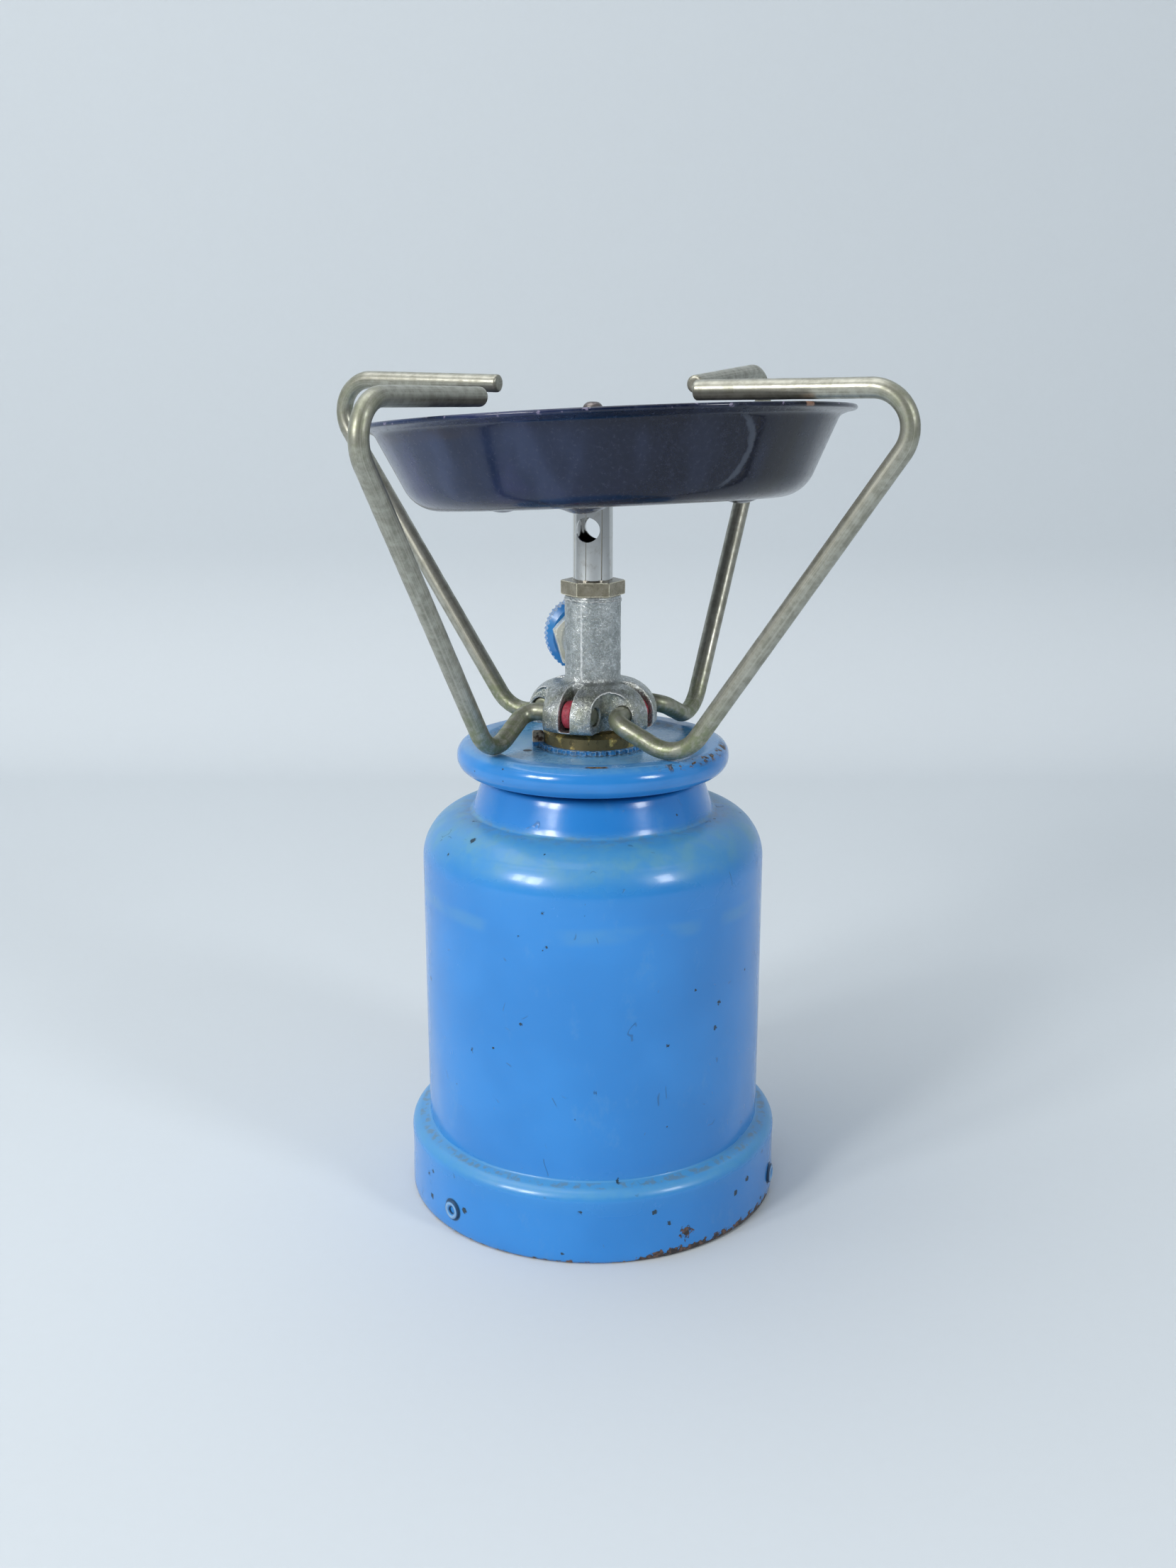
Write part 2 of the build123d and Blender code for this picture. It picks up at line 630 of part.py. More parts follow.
def pot_arm(i):
    """One bent wire: pin through the lobe, foot bend on the disc, leg, and the bar for the pot."""
    side = ARM_OFFSET + ARM_SLIDE[i]
    peak, tip = PEAK_SHIFT[i], TIP_SHIFT[i]
    points = [
        Vector(PIN_OUT, PIN_Z, ARM_SLIDE[i] - PIN_END),
        Vector(PIN_OUT, PIN_Z, side),
        Vector(FOOT_OUT, FOOT_Z, side),
        Vector(PEAK_OUT + peak[0], PEAK_Z + peak[1], side),
        Vector(TIP_OUT + tip[0], TIP_Z + tip[1], side),
    ]
    path = rounded_wire(points, BEND_R)
    start = Plane(origin=points[0], z_dir=(0, 0, 1))
    wire = sweep(start * Circle(WIRE_R), path=path)
    tip_edge = wire.edges().sort_by(lambda edge: (edge.center() - points[-1]).length)[0]
    wire = chamfer(tip_edge, 0.5)
    return lobe_plane(HUB_AZIMUTH + 90 * i) * lifted(wire, ARM_LIFT[i])


def lifted(shape, lift):
    """Swings a shape inward about the arm's pin, in the arm's own plane."""
    return Pos(PIN_OUT, PIN_Z, 0) * Rot(0, 0, lift) * Pos(-PIN_OUT, -PIN_Z, 0) * shape


def friction_ring(i):
    """Rubber ring gripped on the pin, in the lobe's slot, that holds the arm where it is put."""
    ring = Cylinder(RING_R, RING_WIDTH) - Cylinder(WIRE_R, RING_WIDTH + 2)
    ring = chamfer(ring.edges().sort_by(lambda edge: -edge.length)[:2], 0.5)
    return lobe_plane(HUB_AZIMUTH + 90 * i) * lifted(Pos(PIN_OUT, PIN_Z, 0) * ring, ARM_LIFT[i])


# ---- assembly ----
PARTS["housing"] = housing()
PARTS["neck_ring"] = neck_ring()
PARTS["eyelet_rivets"] = at_rivets(eyelet)
PARTS["retaining_lugs"] = at_rivets(lug)
PARTS["base_plate"] = base_plate()
PARTS["gas_cartridge"] = gas_cartridge()
PARTS["cartridge_seal"] = cartridge_seal()
PARTS["piercing_needle"] = piercing_needle()
PARTS["threaded_bush"] = threaded_bush()
PARTS["hand_disc"] = hand_disc()
PARTS["lock_washer"] = lock_washer()
PARTS["hub_casting"] = hub_casting()
PARTS["valve_spindle"] = valve_spindle()
PARTS["stem_seal"] = stem_seal()
PARTS["gland_nut"] = gland_nut()
PARTS["control_knob"] = control_knob()
PARTS["knob_screw"] = knob_screw()
PARTS["jet_filter"] = jet_filter()
PARTS["jet"] = jet()
PARTS["tube_nut"] = tube_nut()
PARTS["burner_tube"] = burner_tube()
PARTS["bowl_collar"] = bowl_collar()
PARTS["burner_base"] = burner_base()
PARTS["burner_bridge"] = burner_bridge()
PARTS["burner_cap"] = burner_cap()
PARTS["cap_screw"] = cap_screw()
PARTS["windshield_bowl"] = windshield_bowl()
for i, name in enumerate(ARM_NAMES):
    PARTS["pot_arm_" + name] = pot_arm(i)
    PARTS["friction_ring_" + name] = friction_ring(i)

os.makedirs("parts", exist_ok=True)
for name, shape in PARTS.items():
    export_step(shape, "parts/" + name + ".step")
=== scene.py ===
import json
from math import cos, pi, radians, sin, tan

import bmesh
import bpy
import numpy as np
from mathutils import Matrix, Vector, noise


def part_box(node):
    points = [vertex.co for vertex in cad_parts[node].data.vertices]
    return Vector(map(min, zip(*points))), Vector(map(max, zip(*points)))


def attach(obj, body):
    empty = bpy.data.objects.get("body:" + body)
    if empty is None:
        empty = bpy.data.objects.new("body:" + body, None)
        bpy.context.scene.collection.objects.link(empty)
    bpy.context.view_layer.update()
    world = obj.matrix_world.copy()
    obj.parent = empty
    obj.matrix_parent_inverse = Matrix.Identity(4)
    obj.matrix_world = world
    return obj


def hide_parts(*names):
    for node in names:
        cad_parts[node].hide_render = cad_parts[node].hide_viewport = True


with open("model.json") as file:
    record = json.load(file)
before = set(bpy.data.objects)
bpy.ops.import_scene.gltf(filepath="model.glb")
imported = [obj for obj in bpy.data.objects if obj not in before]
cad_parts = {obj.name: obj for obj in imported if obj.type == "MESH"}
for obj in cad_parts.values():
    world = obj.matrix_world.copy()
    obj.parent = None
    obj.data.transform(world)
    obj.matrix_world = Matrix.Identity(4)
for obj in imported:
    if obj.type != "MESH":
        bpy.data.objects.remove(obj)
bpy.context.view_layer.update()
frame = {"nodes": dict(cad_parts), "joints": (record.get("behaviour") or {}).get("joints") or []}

MM = 0.001
UP = Vector((0, 0, 1))
NODES = frame["nodes"]
JOINTS = {joint["name"]: joint for joint in frame["joints"]}


# ---------------------------------------------------------------- outlines and meshes
def rounded(points, radii, step=0.6):
    """An open line in the plane, in millimetres, with arcs at its inner corners and short even steps."""
    points = [np.array(point, float) for point in points]
    line = [points[0]]
    for before, corner, after, radius in zip(points, points[1:], points[2:], radii):
        back = (before - corner) / np.linalg.norm(before - corner)
        ahead = (after - corner) / np.linalg.norm(after - corner)
        half = np.arccos(np.clip(back @ ahead, -1, 1)) / 2
        middle = corner + (back + ahead) / np.linalg.norm(back + ahead) * radius / sin(half)
        start = corner + back * radius / tan(half) - middle
        end = corner + ahead * radius / tan(half) - middle
        sweep = pi - 2 * half
        count = max(4, int(radius * sweep / step) + 1)
        for share in np.linspace(0, 1, count):
            blend = (start * sin((1 - share) * sweep) + end * sin(share * sweep)) / sin(sweep)
            line.append(middle + blend)
    line.append(points[-1])
    return line


def stepped(line, step):
    """The same line with extra points, so that no run is longer than the step."""
    dense = [line[0]]
    for start, end in zip(line, line[1:]):
        count = max(1, int(np.ceil(np.linalg.norm(end - start) / step)))
        dense += [start + (end - start) * k / count for k in range(1, count + 1)]
    keep = [dense[0]]
    for point in dense[1:]:
        if np.linalg.norm(point - keep[-1]) > 1e-4:
            keep.append(point)
    return keep


def sheet(line, thickness):
    """The closed outline of a sheet of even thickness that follows a line."""
    line = np.array(line)
    along = np.gradient(line, axis=0)
    along /= np.linalg.norm(along, axis=1)[:, None]
    side = np.column_stack([-along[:, 1], along[:, 0]]) * thickness / 2
    return np.vstack([line + side, (line - side)[::-1]])


def piece(name, vertices, faces, body, material, stands_for=None, sharp=38, layers=()):
    """A closed mesh that rides on a body; it may stand for a CAD node and carry values on its points."""
    mesh = bpy.data.meshes.new(name)
    mesh.from_pydata([tuple(v) for v in vertices], [], faces)
    for layer_name, kind, field, values in layers:
        layer = mesh.attributes.new(layer_name, kind, "POINT")
        layer.data.foreach_set(field, np.array(values, np.float32).ravel())
    shape = bmesh.new()
    shape.from_mesh(mesh)
    bmesh.ops.remove_doubles(shape, verts=shape.verts, dist=1e-7)
    bmesh.ops.recalc_face_normals(shape, faces=shape.faces)
    shape.to_mesh(mesh)
    shape.free()
    mesh.polygons.foreach_set("use_smooth", [True] * len(mesh.polygons))
    mesh.set_sharp_from_angle(angle=radians(sharp))
    made = bpy.data.objects.new(name, mesh)
    bpy.context.scene.collection.objects.link(made)
    made.data.materials.append(material.material)
    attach(made, body)
    if stands_for:
        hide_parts(stands_for)
    return made


def lathe(outline, segments, warp=None):
    """Vertices and faces of a closed outline of (radius, height) in millimetres, turned about Z."""
    outline = np.array(outline, float)
    count = len(outline)
    vertices = []
    for i in range(segments):
        angle = 2 * pi * i / segments
        for radius, height in outline:
            point = Vector((radius * sin(angle), -radius * cos(angle), height)) * MM
            vertices.append(warp(point) if warp else point)
    faces = []
    for i in range(segments):
        j = (i + 1) % segments
        for k in range(count):
            m = (k + 1) % count
            faces.append((i * count + k, j * count + k, j * count + m, i * count + m))
    return vertices, faces


def sleeve(rings, count):
    """Faces that join each ring of count vertices to the next one."""
    faces = []
    for i in range(rings - 1):
        for k in range(count):
            m = (k + 1) % count
            faces.append((i * count + k, i * count + m, (i + 1) * count + m, (i + 1) * count + k))
    return faces


def bearing(point):
    """Azimuth of a point about Z in degrees, 0 at the front and positive towards +X."""
    return np.degrees(np.arctan2(point.x, -point.y))


def turn_gap(angle, other):
    """Smallest difference between two azimuths, in degrees."""
    return (angle - other + 180) % 360 - 180


# ---------------------------------------------------------------- shader building
def srgb(red, green, blue):
    """A display colour of 0 to 255 as linear light."""
    values = [c / 255 for c in (red, green, blue)]
    return tuple(c / 12.92 if c <= 0.04045 else ((c + 0.055) / 1.055) ** 2.4 for c in values) + (1.0,)


class Shade:
    """One node tree. Each method adds nodes and returns the socket that holds the result."""

    def __init__(self, name, slot, world=None):
        self.slot = slot
        self.material = world or bpy.data.materials.new(name)
        self.material.use_nodes = True
        self.tree = self.material.node_tree
        self.tree.nodes.clear()
        self.place = self.add("ShaderNodeTexCoord").outputs["Generated" if world else "Object"]
        parts = self.add("ShaderNodeSeparateXYZ", {"Vector": self.place})
        self.x, self.y, self.z = parts.outputs
        self.normal_up = self.add(
            "ShaderNodeSeparateXYZ", {"Vector": self.add("ShaderNodeNewGeometry").outputs["Normal"]}
        ).outputs["Z"]

    def add(self, kind, inputs=None, **settings):
        node = self.tree.nodes.new(kind)
        for key, value in settings.items():
            setattr(node, key, value)
        for key, value in (inputs or {}).items():
            self.put(node.inputs[key], value)
        return node

    def put(self, socket, value):
        if isinstance(value, bpy.types.NodeSocket):
            self.tree.links.new(value, socket)
        else:
            socket.default_value = value

    def math(self, operation, *values):
        node = self.add("ShaderNodeMath", operation=operation)
        for socket, value in zip(node.inputs, values):
            self.put(socket, value)
        return node.outputs[0]

    def chain(self, operation, values):
        """Takes one operation through all the values, from the first to the last."""
        result = values[0]
        for value in values[1:]:
            result = self.math(operation, result, value)
        return result

    def times(self, *values):
        return self.chain("MULTIPLY", values)

    def plus(self, *values):
        return self.chain("ADD", values)

    def either(self, *values):
        return self.chain("MAXIMUM", values)

    def minus(self, value, less):
        return self.math("SUBTRACT", value, less)

    def distance(self, along, up):
        """Length of the line that goes along and up by these two."""
        return self.math("SQRT", self.plus(self.times(along, along), self.times(up, up)))

    def opposite(self, value):
        return self.minus(1.0, value)

    def step(self, value, low, high):
        """0 at low and 1 at high, smooth between; low may be the larger."""
        node = self.add(
            "ShaderNodeMapRange", {"Value": value, "From Min": low, "From Max": high},
            interpolation_type="SMOOTHSTEP",
        )
        return node.outputs["Result"]

    def spread(self, value, low, high):
        """Takes 0 to 1 to low to high."""
        node = self.add("ShaderNodeMapRange", {"Value": value, "To Min": low, "To Max": high})
        return node.outputs["Result"]

    def between(self, value, low, full, last, high):
        """0 up to low, 1 from full to last, and 0 again from high."""
        return self.times(self.step(value, low, full), self.step(value, high, last))

    def band(self, value, middle, half, soft):
        """1 within half of the middle, falling to 0 over the soft distance."""
        away = self.math("ABSOLUTE", self.minus(value, middle))
        return self.step(away, half + soft, half)

    def bearing(self):
        """Azimuth in degrees, 0 at the front."""
        angle = self.math("ARCTAN2", self.x, self.math("MULTIPLY", self.y, -1.0))
        return self.math("MULTIPLY", angle, 180 / pi)

    def out_from(self, azimuth, height, radius):
        """Distance in metres over a round wall, from its point at an azimuth and a height."""
        along = self.times(self.minus(self.bearing(), azimuth), radians(radius))
        return self.distance(along, self.minus(self.z, height))

    def moved(self, stretch=(1, 1, 1), shift=(0, 0, 0), source=None):
        inputs = {"Vector": source or self.place, "Location": shift, "Scale": stretch}
        return self.add("ShaderNodeMapping", inputs).outputs[0]

    def noise(self, size, detail, rough=0.55, stretch=(1, 1, 1), shift=(0, 0, 0), source=None):
        """Noise of about 0 to 1; size is in millimetres, or in the source's own units if it has one."""
        vector = self.moved(stretch, shift, source)
        scale = 1 / (size * MM) if source is None else 1 / size
        node = self.add(
            "ShaderNodeTexNoise",
            {"Vector": vector, "Scale": scale, "Detail": detail, "Roughness": rough},
        )
        return node.outputs[0]

    def patches(self, size, detail, low, high, rough=0.55, **placed):
        """Noise with more contrast: 0 up to low and 1 from high."""
        return self.step(self.noise(size, detail, rough, **placed), low, high)

    def cells(self, size, shift=(0, 0, 0)):
        """Distance to scattered points about size millimetres apart, and each point's own colour."""
        inputs = {"Vector": self.moved(shift=shift), "Scale": 1 / (size * MM)}
        node = self.add("ShaderNodeTexVoronoi", inputs)
        return node.outputs["Distance"], node.outputs["Color"]

    def mix(self, share, first, second):
        node = self.add("ShaderNodeMix", data_type="RGBA")
        for index, value in ((0, share), (6, first), (7, second)):
            self.put(node.inputs[index], value)
        return node.outputs[2]

    def bump(self, height, depth, under=None):
        """A normal from a height of 0 to 1 that stands for a depth in millimetres."""
        node = self.add("ShaderNodeBump", {"Height": height, "Distance": depth * MM, "Strength": 1.0})
        if under is not None:
            self.put(node.inputs["Normal"], under)
        return node.outputs["Normal"]

    def edges(self, radius):
        """1 on outer and inner edges, 0 on open surface."""
        bevel = self.add("ShaderNodeBevel", {"Radius": radius * MM}, samples=4).outputs["Normal"]
        true = self.add("ShaderNodeNewGeometry").outputs["Normal"]
        dot = self.add("ShaderNodeVectorMath", {0: bevel, 1: true}, operation="DOT_PRODUCT")
        return self.step(dot.outputs["Value"], 0.985, 0.90)

    def finish(self, colour, metallic, roughness, normal=None, coat=0.0, coat_roughness=0.1, specular=0.5):
        shader = self.add(
            "ShaderNodeBsdfPrincipled",
            {"Base Color": colour, "Metallic": metallic, "Roughness": roughness, "Coat Weight": coat,
             "Coat Roughness": coat_roughness, "Specular IOR Level": specular},
        )
        if normal is not None:
            self.put(shader.inputs["Normal"], normal)
        out = self.add("ShaderNodeOutputMaterial")
        self.tree.links.new(shader.outputs[0], out.inputs["Surface"])
        return self


def sparse_chips(shade, spacing, size, share):
    """Ragged chips of about size millimetres, at a share of points spacing millimetres apart."""
    distance, tint = shade.cells(spacing, shift=(0.013, 0.007, 0.021))
    pick = shade.add("ShaderNodeSeparateColor", {"Color": tint})
    ragged = shade.plus(distance, shade.times(shade.noise(0.55, 4.0, 0.65), 0.34))
    reach = shade.spread(pick.outputs["Green"], 0.35 * size / spacing, size / spacing)
    inside = shade.step(shade.minus(ragged, shade.plus(reach, 0.15)), 0.010, -0.010)
    return shade.times(inside, shade.step(pick.outputs["Red"], share + 0.001, share))


def scratches(shade, size, length, lean, level):
    """Thin lines with a lean, where a stretched noise crosses its middle."""
    turned = shade.add(
        "ShaderNodeVectorRotate", {"Vector": shade.place, "Angle": lean}, rotation_type="Y_AXIS"
    ).outputs[0]
    stretched = shade.moved((1, 1, size / length), (0, 0, 0), turned)
    settings = {"Vector": stretched, "Scale": 1 / (size * MM), "Detail": 1.0, "Roughness": 0.4}
    field = shade.add("ShaderNodeTexNoise", settings).outputs[0]
    line = shade.band(field, 0.5, 0.006, 0.010)
    where = shade.step(shade.noise(size * 1.7, 2.0, shift=(0.3, 0.1, 0.2)), level, level + 0.04)
    return shade.times(line, where)


# the eyelets' azimuths in degrees, their height, and the radius of the skirt they sit in, in metres
RIVETS = (-47.0, 73.0, -167.0)
RIVET_Z = 0.0068
SKIRT_R = 0.0526


def housing_enamel():
    """Gloss blue enamel with settled dust, dirt in its creases, chips, scratches and a rusty hem."""
    shade = Shade("housing_enamel", "blue_enamel")
    colour = shade.mix(shade.patches(34, 2.0, 0.36, 0.64), srgb(44, 132, 208), srgb(38, 125, 200))
    around = shade.bearing()
    grime = shade.patches(2.4, 5.0, 0.30, 0.70, 0.66)
    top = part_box("housing")[1].z

    # dust on the shoulder and on the step above the skirt
    shoulder = shade.between(shade.z, top - 0.031, top - 0.012, top - 0.0105, top - 0.0075)
    shelf = shade.between(shade.z, 0.0125, 0.0195, 0.0208, 0.0260)
    facing = shade.step(shade.normal_up, 0.05, 0.70)
    settled = shade.times(shade.either(shoulder, shelf), shade.spread(facing, 0.20, 1.0))
    settled = shade.times(settled, shade.spread(grime, 0.72, 1.0))
    colour = shade.mix(shade.times(settled, 0.62), colour, srgb(84, 150, 184))
    worn_top = shade.times(shoulder, facing, shade.patches(7.0, 4.0, 0.42, 0.66, shift=(0.3, 0, 0.1)))
    colour = shade.mix(shade.times(worn_top, 0.45), colour, srgb(96, 152, 166))
    crease = shade.band(shade.z, 0.02115, 0.0001, 0.0003)
    under_neck = shade.band(shade.z, top - 0.0098, 0.0002, 0.0007)
    dirt = shade.either(crease, shade.times(under_neck, 0.5))
    dirt = shade.times(dirt, shade.patches(2.2, 4.0, 0.46, 0.60))
    colour = shade.mix(shade.times(dirt, 0.5), colour, srgb(104, 112, 98))

    # a faint pale line rubbed round the body, and broad faint scuffs
    wander = shade.plus(shade.z, shade.times(shade.noise(40, 1.0), 0.004))
    ring = shade.band(wander, 0.0922, 0.0006, 0.0022)
    ring = shade.times(ring, shade.patches(16, 3.0, 0.36, 0.60, shift=(0.1, 0, 0)))
    colour = shade.mix(shade.times(ring, 0.22), colour, srgb(104, 160, 184))
    scuffed = shade.patches(9, 6.0, 0.56, 0.70, 0.72, stretch=(1, 1, 0.55), shift=(0.2, 0.4, 0))
    colour = shade.mix(shade.times(scuffed, 0.16), colour, srgb(96, 154, 196))

    # chips and scratches, more of them low down
    chips = sparse_chips(shade, 6.5, 0.95, 0.16)
    specks = sparse_chips(shade, 2.7, 0.36, 0.05)
    low = shade.times(sparse_chips(shade, 4.6, 1.0, 0.34), shade.step(shade.z, 0.0205, 0.0150))
    marks = scratches(shade, 5.0, 16.0, 0.35, 0.66)
    marks = shade.either(marks, scratches(shade, 4.0, 12.0, -0.6, 0.67))
    dark = shade.either(chips, specks, low, shade.times(marks, 0.40))
    for azimuth in RIVETS:
        away = shade.out_from(azimuth, RIVET_Z, SKIRT_R)
        dark = shade.either(dark, shade.times(shade.band(away, 0.0029, 0.00012, 0.00035), 0.85))
    colour = shade.mix(dark, colour, srgb(30, 58, 76))

    # bare, rusted steel along the hem, worst at the front right
    worst = shade.band(around, 44, 20, 22)
    ragged = shade.times(shade.minus(shade.noise(2.2, 5.0, 0.62), 0.5), 0.0066)
    hem_top = shade.plus(shade.times(worst, 0.0019), 0.0001, ragged)
    hem = shade.step(shade.minus(shade.z, hem_top), 0.00012, -0.00012)
    blotch = shade.out_from(28, 0.0060, SKIRT_R)
    blotch = shade.plus(blotch, shade.times(shade.noise(1.3, 5.0, 0.7), 0.0080))
    bare = shade.either(hem, shade.step(blotch, 0.0056, 0.0053))
    rust = shade.mix(shade.patches(1.1, 5.0, 0.44, 0.70), srgb(40, 36, 38), srgb(112, 84, 70))
    colour = shade.mix(bare, colour, rust)

    rough = shade.spread(shade.patches(14, 4.0, 0.35, 0.65), 0.19, 0.27)
    lost = shade.either(bare, dark)
    rough = shade.plus(rough, shade.times(settled, 0.20), shade.times(lost, 0.45))
    peel = shade.bump(shade.noise(2.6, 2.0), 0.010)
    flow = shade.bump(shade.noise(15, 1.5), 0.12, peel)
    pits = shade.bump(shade.opposite(lost), 0.09, flow)
    return shade.finish(colour, 0.0, rough, pits, coat=0.25, coat_roughness=0.10)


def eyelet_enamel():
    """The same blue on the eyelets, with dirt round their flanges and painted shade in their hollow
    centres.
    """
    shade = Shade("eyelet_enamel", "blue_enamel")
    colour = shade.mix(shade.patches(2.0, 3.0, 0.36, 0.64), srgb(52, 136, 204), srgb(40, 118, 184))
    dirt_and_hollow_shade = 0.0
    worn = 0.0
    for azimuth in RIVETS:
        away = shade.out_from(azimuth, RIVET_Z, SKIRT_R + 0.0002)
        ring = shade.band(away, 0.0028, 0.00025, 0.0003)
        # painted shade: the hollow centre of each eyelet is painted dark
        hole = shade.step(away, 0.0014, 0.0010)
        dirt_and_hollow_shade = shade.either(dirt_and_hollow_shade, ring, hole)
        worn = shade.either(worn, shade.band(away, 0.0019, 0.0002, 0.0004))
    colour = shade.mix(shade.times(worn, 0.45), colour, srgb(168, 196, 210))
    colour = shade.mix(shade.times(dirt_and_hollow_shade, 0.85), colour, srgb(24, 46, 66))
    rough = shade.spread(dirt_and_hollow_shade, 0.22, 0.6)
    return shade.finish(colour, 0.0, rough, shade.bump(shade.noise(0.8, 3.0), 0.03), coat=0.3)


def disc_enamel():
    """The disc's blue: duller and scuffed inside its well, where the paler colour is partly dust and partly
    painted light against the hub's shade; rusty at the right of the rim.
    """
    shade = Shade("disc_enamel", "blue_enamel")
    colour = shade.mix(shade.patches(20, 2.0, 0.36, 0.64), srgb(50, 134, 208), srgb(42, 125, 198))
    radius = shade.distance(shade.x, shade.y)
    # pale settled dust on upward faces; inside the well the paler colour is also painted light that lifts
    # the hub's shade
    well = shade.times(shade.step(radius, 0.0318, 0.0285), shade.step(shade.normal_up, 0.3, 0.8))
    top = shade.times(shade.step(shade.normal_up, 0.55, 0.92), 0.45)
    fine = shade.spread(shade.patches(1.8, 5.0, 0.32, 0.68, 0.66), 0.55, 1.0)
    settled = shade.times(shade.either(well, top), fine)
    colour = shade.mix(shade.times(settled, 0.60), colour, srgb(136, 186, 206))
    lip = shade.times(shade.band(radius, 0.0289, 0.0002, 0.0005), shade.patches(2.5, 4.0, 0.42, 0.60))
    hub_dirt = shade.band(radius, 0.0156, 0.0003, 0.0014)
    hub_dirt = shade.times(hub_dirt, shade.patches(1.0, 4.0, 0.34, 0.60))
    dirt = shade.either(shade.times(lip, 0.5), shade.times(hub_dirt, 0.85))
    colour = shade.mix(dirt, colour, srgb(66, 74, 70))

    around = shade.bearing()
    rim = shade.times(shade.band(around, 58, 20, 14), shade.band(radius, 0.0358, 0.0005, 0.0009))
    rim_chips = shade.times(rim, shade.patches(1.9, 5.0, 0.520, 0.532, 0.62))
    rim_chips = shade.times(rim_chips, shade.step(shade.normal_up, 0.2, 0.5))
    streak = shade.times(shade.band(around, 1.5, 3.8, 2.0), shade.band(radius, 0.0332, 0.0006, 0.0006))
    streak = shade.times(streak, shade.patches(0.9, 4.0, 0.32, 0.38))
    # painted shade: a small dark oval where a vent hole shows dark, counted with the chips
    painted_hole_shade_r, painted_hole_shade_azimuth = 0.0195, -65.0
    along = shade.times(shade.minus(around, painted_hole_shade_azimuth), radians(painted_hole_shade_r))
    painted_hole_shade = shade.step(shade.distance(along, shade.minus(radius, painted_hole_shade_r)), 0.0014, 0.0011)
    bare = shade.either(rim_chips, streak)
    chips = shade.either(sparse_chips(shade, 6.0, 0.7, 0.10), sparse_chips(shade, 2.6, 0.34, 0.06))
    chips = shade.either(chips, painted_hole_shade)
    colour = shade.mix(chips, colour, srgb(28, 48, 64))
    rust = shade.mix(shade.patches(0.8, 5.0, 0.46, 0.66), srgb(44, 35, 30), srgb(146, 118, 76))
    colour = shade.mix(bare, colour, rust)

    rough = shade.spread(shade.patches(9, 4.0, 0.35, 0.65), 0.15, 0.22)
    lost = shade.either(bare, chips)
    rough = shade.plus(rough, shade.times(settled, 0.14), shade.times(lost, 0.45))
    peel = shade.bump(shade.noise(2.2, 2.0), 0.012)
    flow = shade.bump(shade.noise(7, 1.5), 0.08, peel)
    pits = shade.bump(shade.opposite(lost), 0.08, flow)
    return shade.finish(colour, 0.0, rough, pits, coat=0.25, coat_roughness=0.10)


def washer_enamel():
    """Blue paint over the toothed washer: pale edges that are partly wear and partly painted highlight,
    dirt between, and a bare rusty tab.
    """
    shade = Shade("washer_enamel", "rusty_steel")
    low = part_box("lock_washer")[0].z
    grime = shade.patches(0.8, 4.0, 0.42, 0.60)
    colour = shade.mix(shade.times(grime, 0.55), srgb(58, 134, 200), srgb(70, 84, 84))
    # pale tooth edges: partly worn paint, partly painted highlight
    edge = shade.times(shade.edges(0.22), shade.patches(1.2, 3.0, 0.36, 0.50))
    colour = shade.mix(edge, colour, srgb(196, 218, 232))
    tab = shade.step(shade.z, low + 0.0011, low + 0.0015)
    rust = shade.mix(shade.patches(1.4, 5.0, 0.40, 0.54), srgb(98, 66, 44), srgb(206, 188, 164))
    rust = shade.mix(shade.patches(0.7, 4.0, 0.60, 0.66, shift=(0.2, 0, 0)), rust, srgb(30, 24, 22))
    colour = shade.mix(tab, colour, rust)
    rough = shade.spread(tab, 0.26, 0.62)
    normal = shade.bump(shade.noise(0.6, 4.0), 0.08)
    return shade.finish(colour, 0.0, rough, normal)


def knob_enamel():
    """The knob's glossy blue, worn pale in places on its scallops."""
    shade = Shade("knob_enamel", "knob_enamel")
    colour = shade.mix(shade.patches(9, 3.0, 0.36, 0.64), srgb(54, 134, 200), srgb(44, 118, 186))
    edge = shade.times(shade.edges(0.35), shade.patches(0.7, 4.0, 0.55, 0.62))
    colour = shade.mix(shade.times(edge, 0.8), colour, srgb(150, 160, 166))
    rough = shade.spread(shade.noise(4, 4.0), 0.14, 0.28)
    normal = shade.bump(shade.noise(3, 2.0), 0.015)
    return shade.finish(colour, 0.0, rough, normal, coat=0.3)


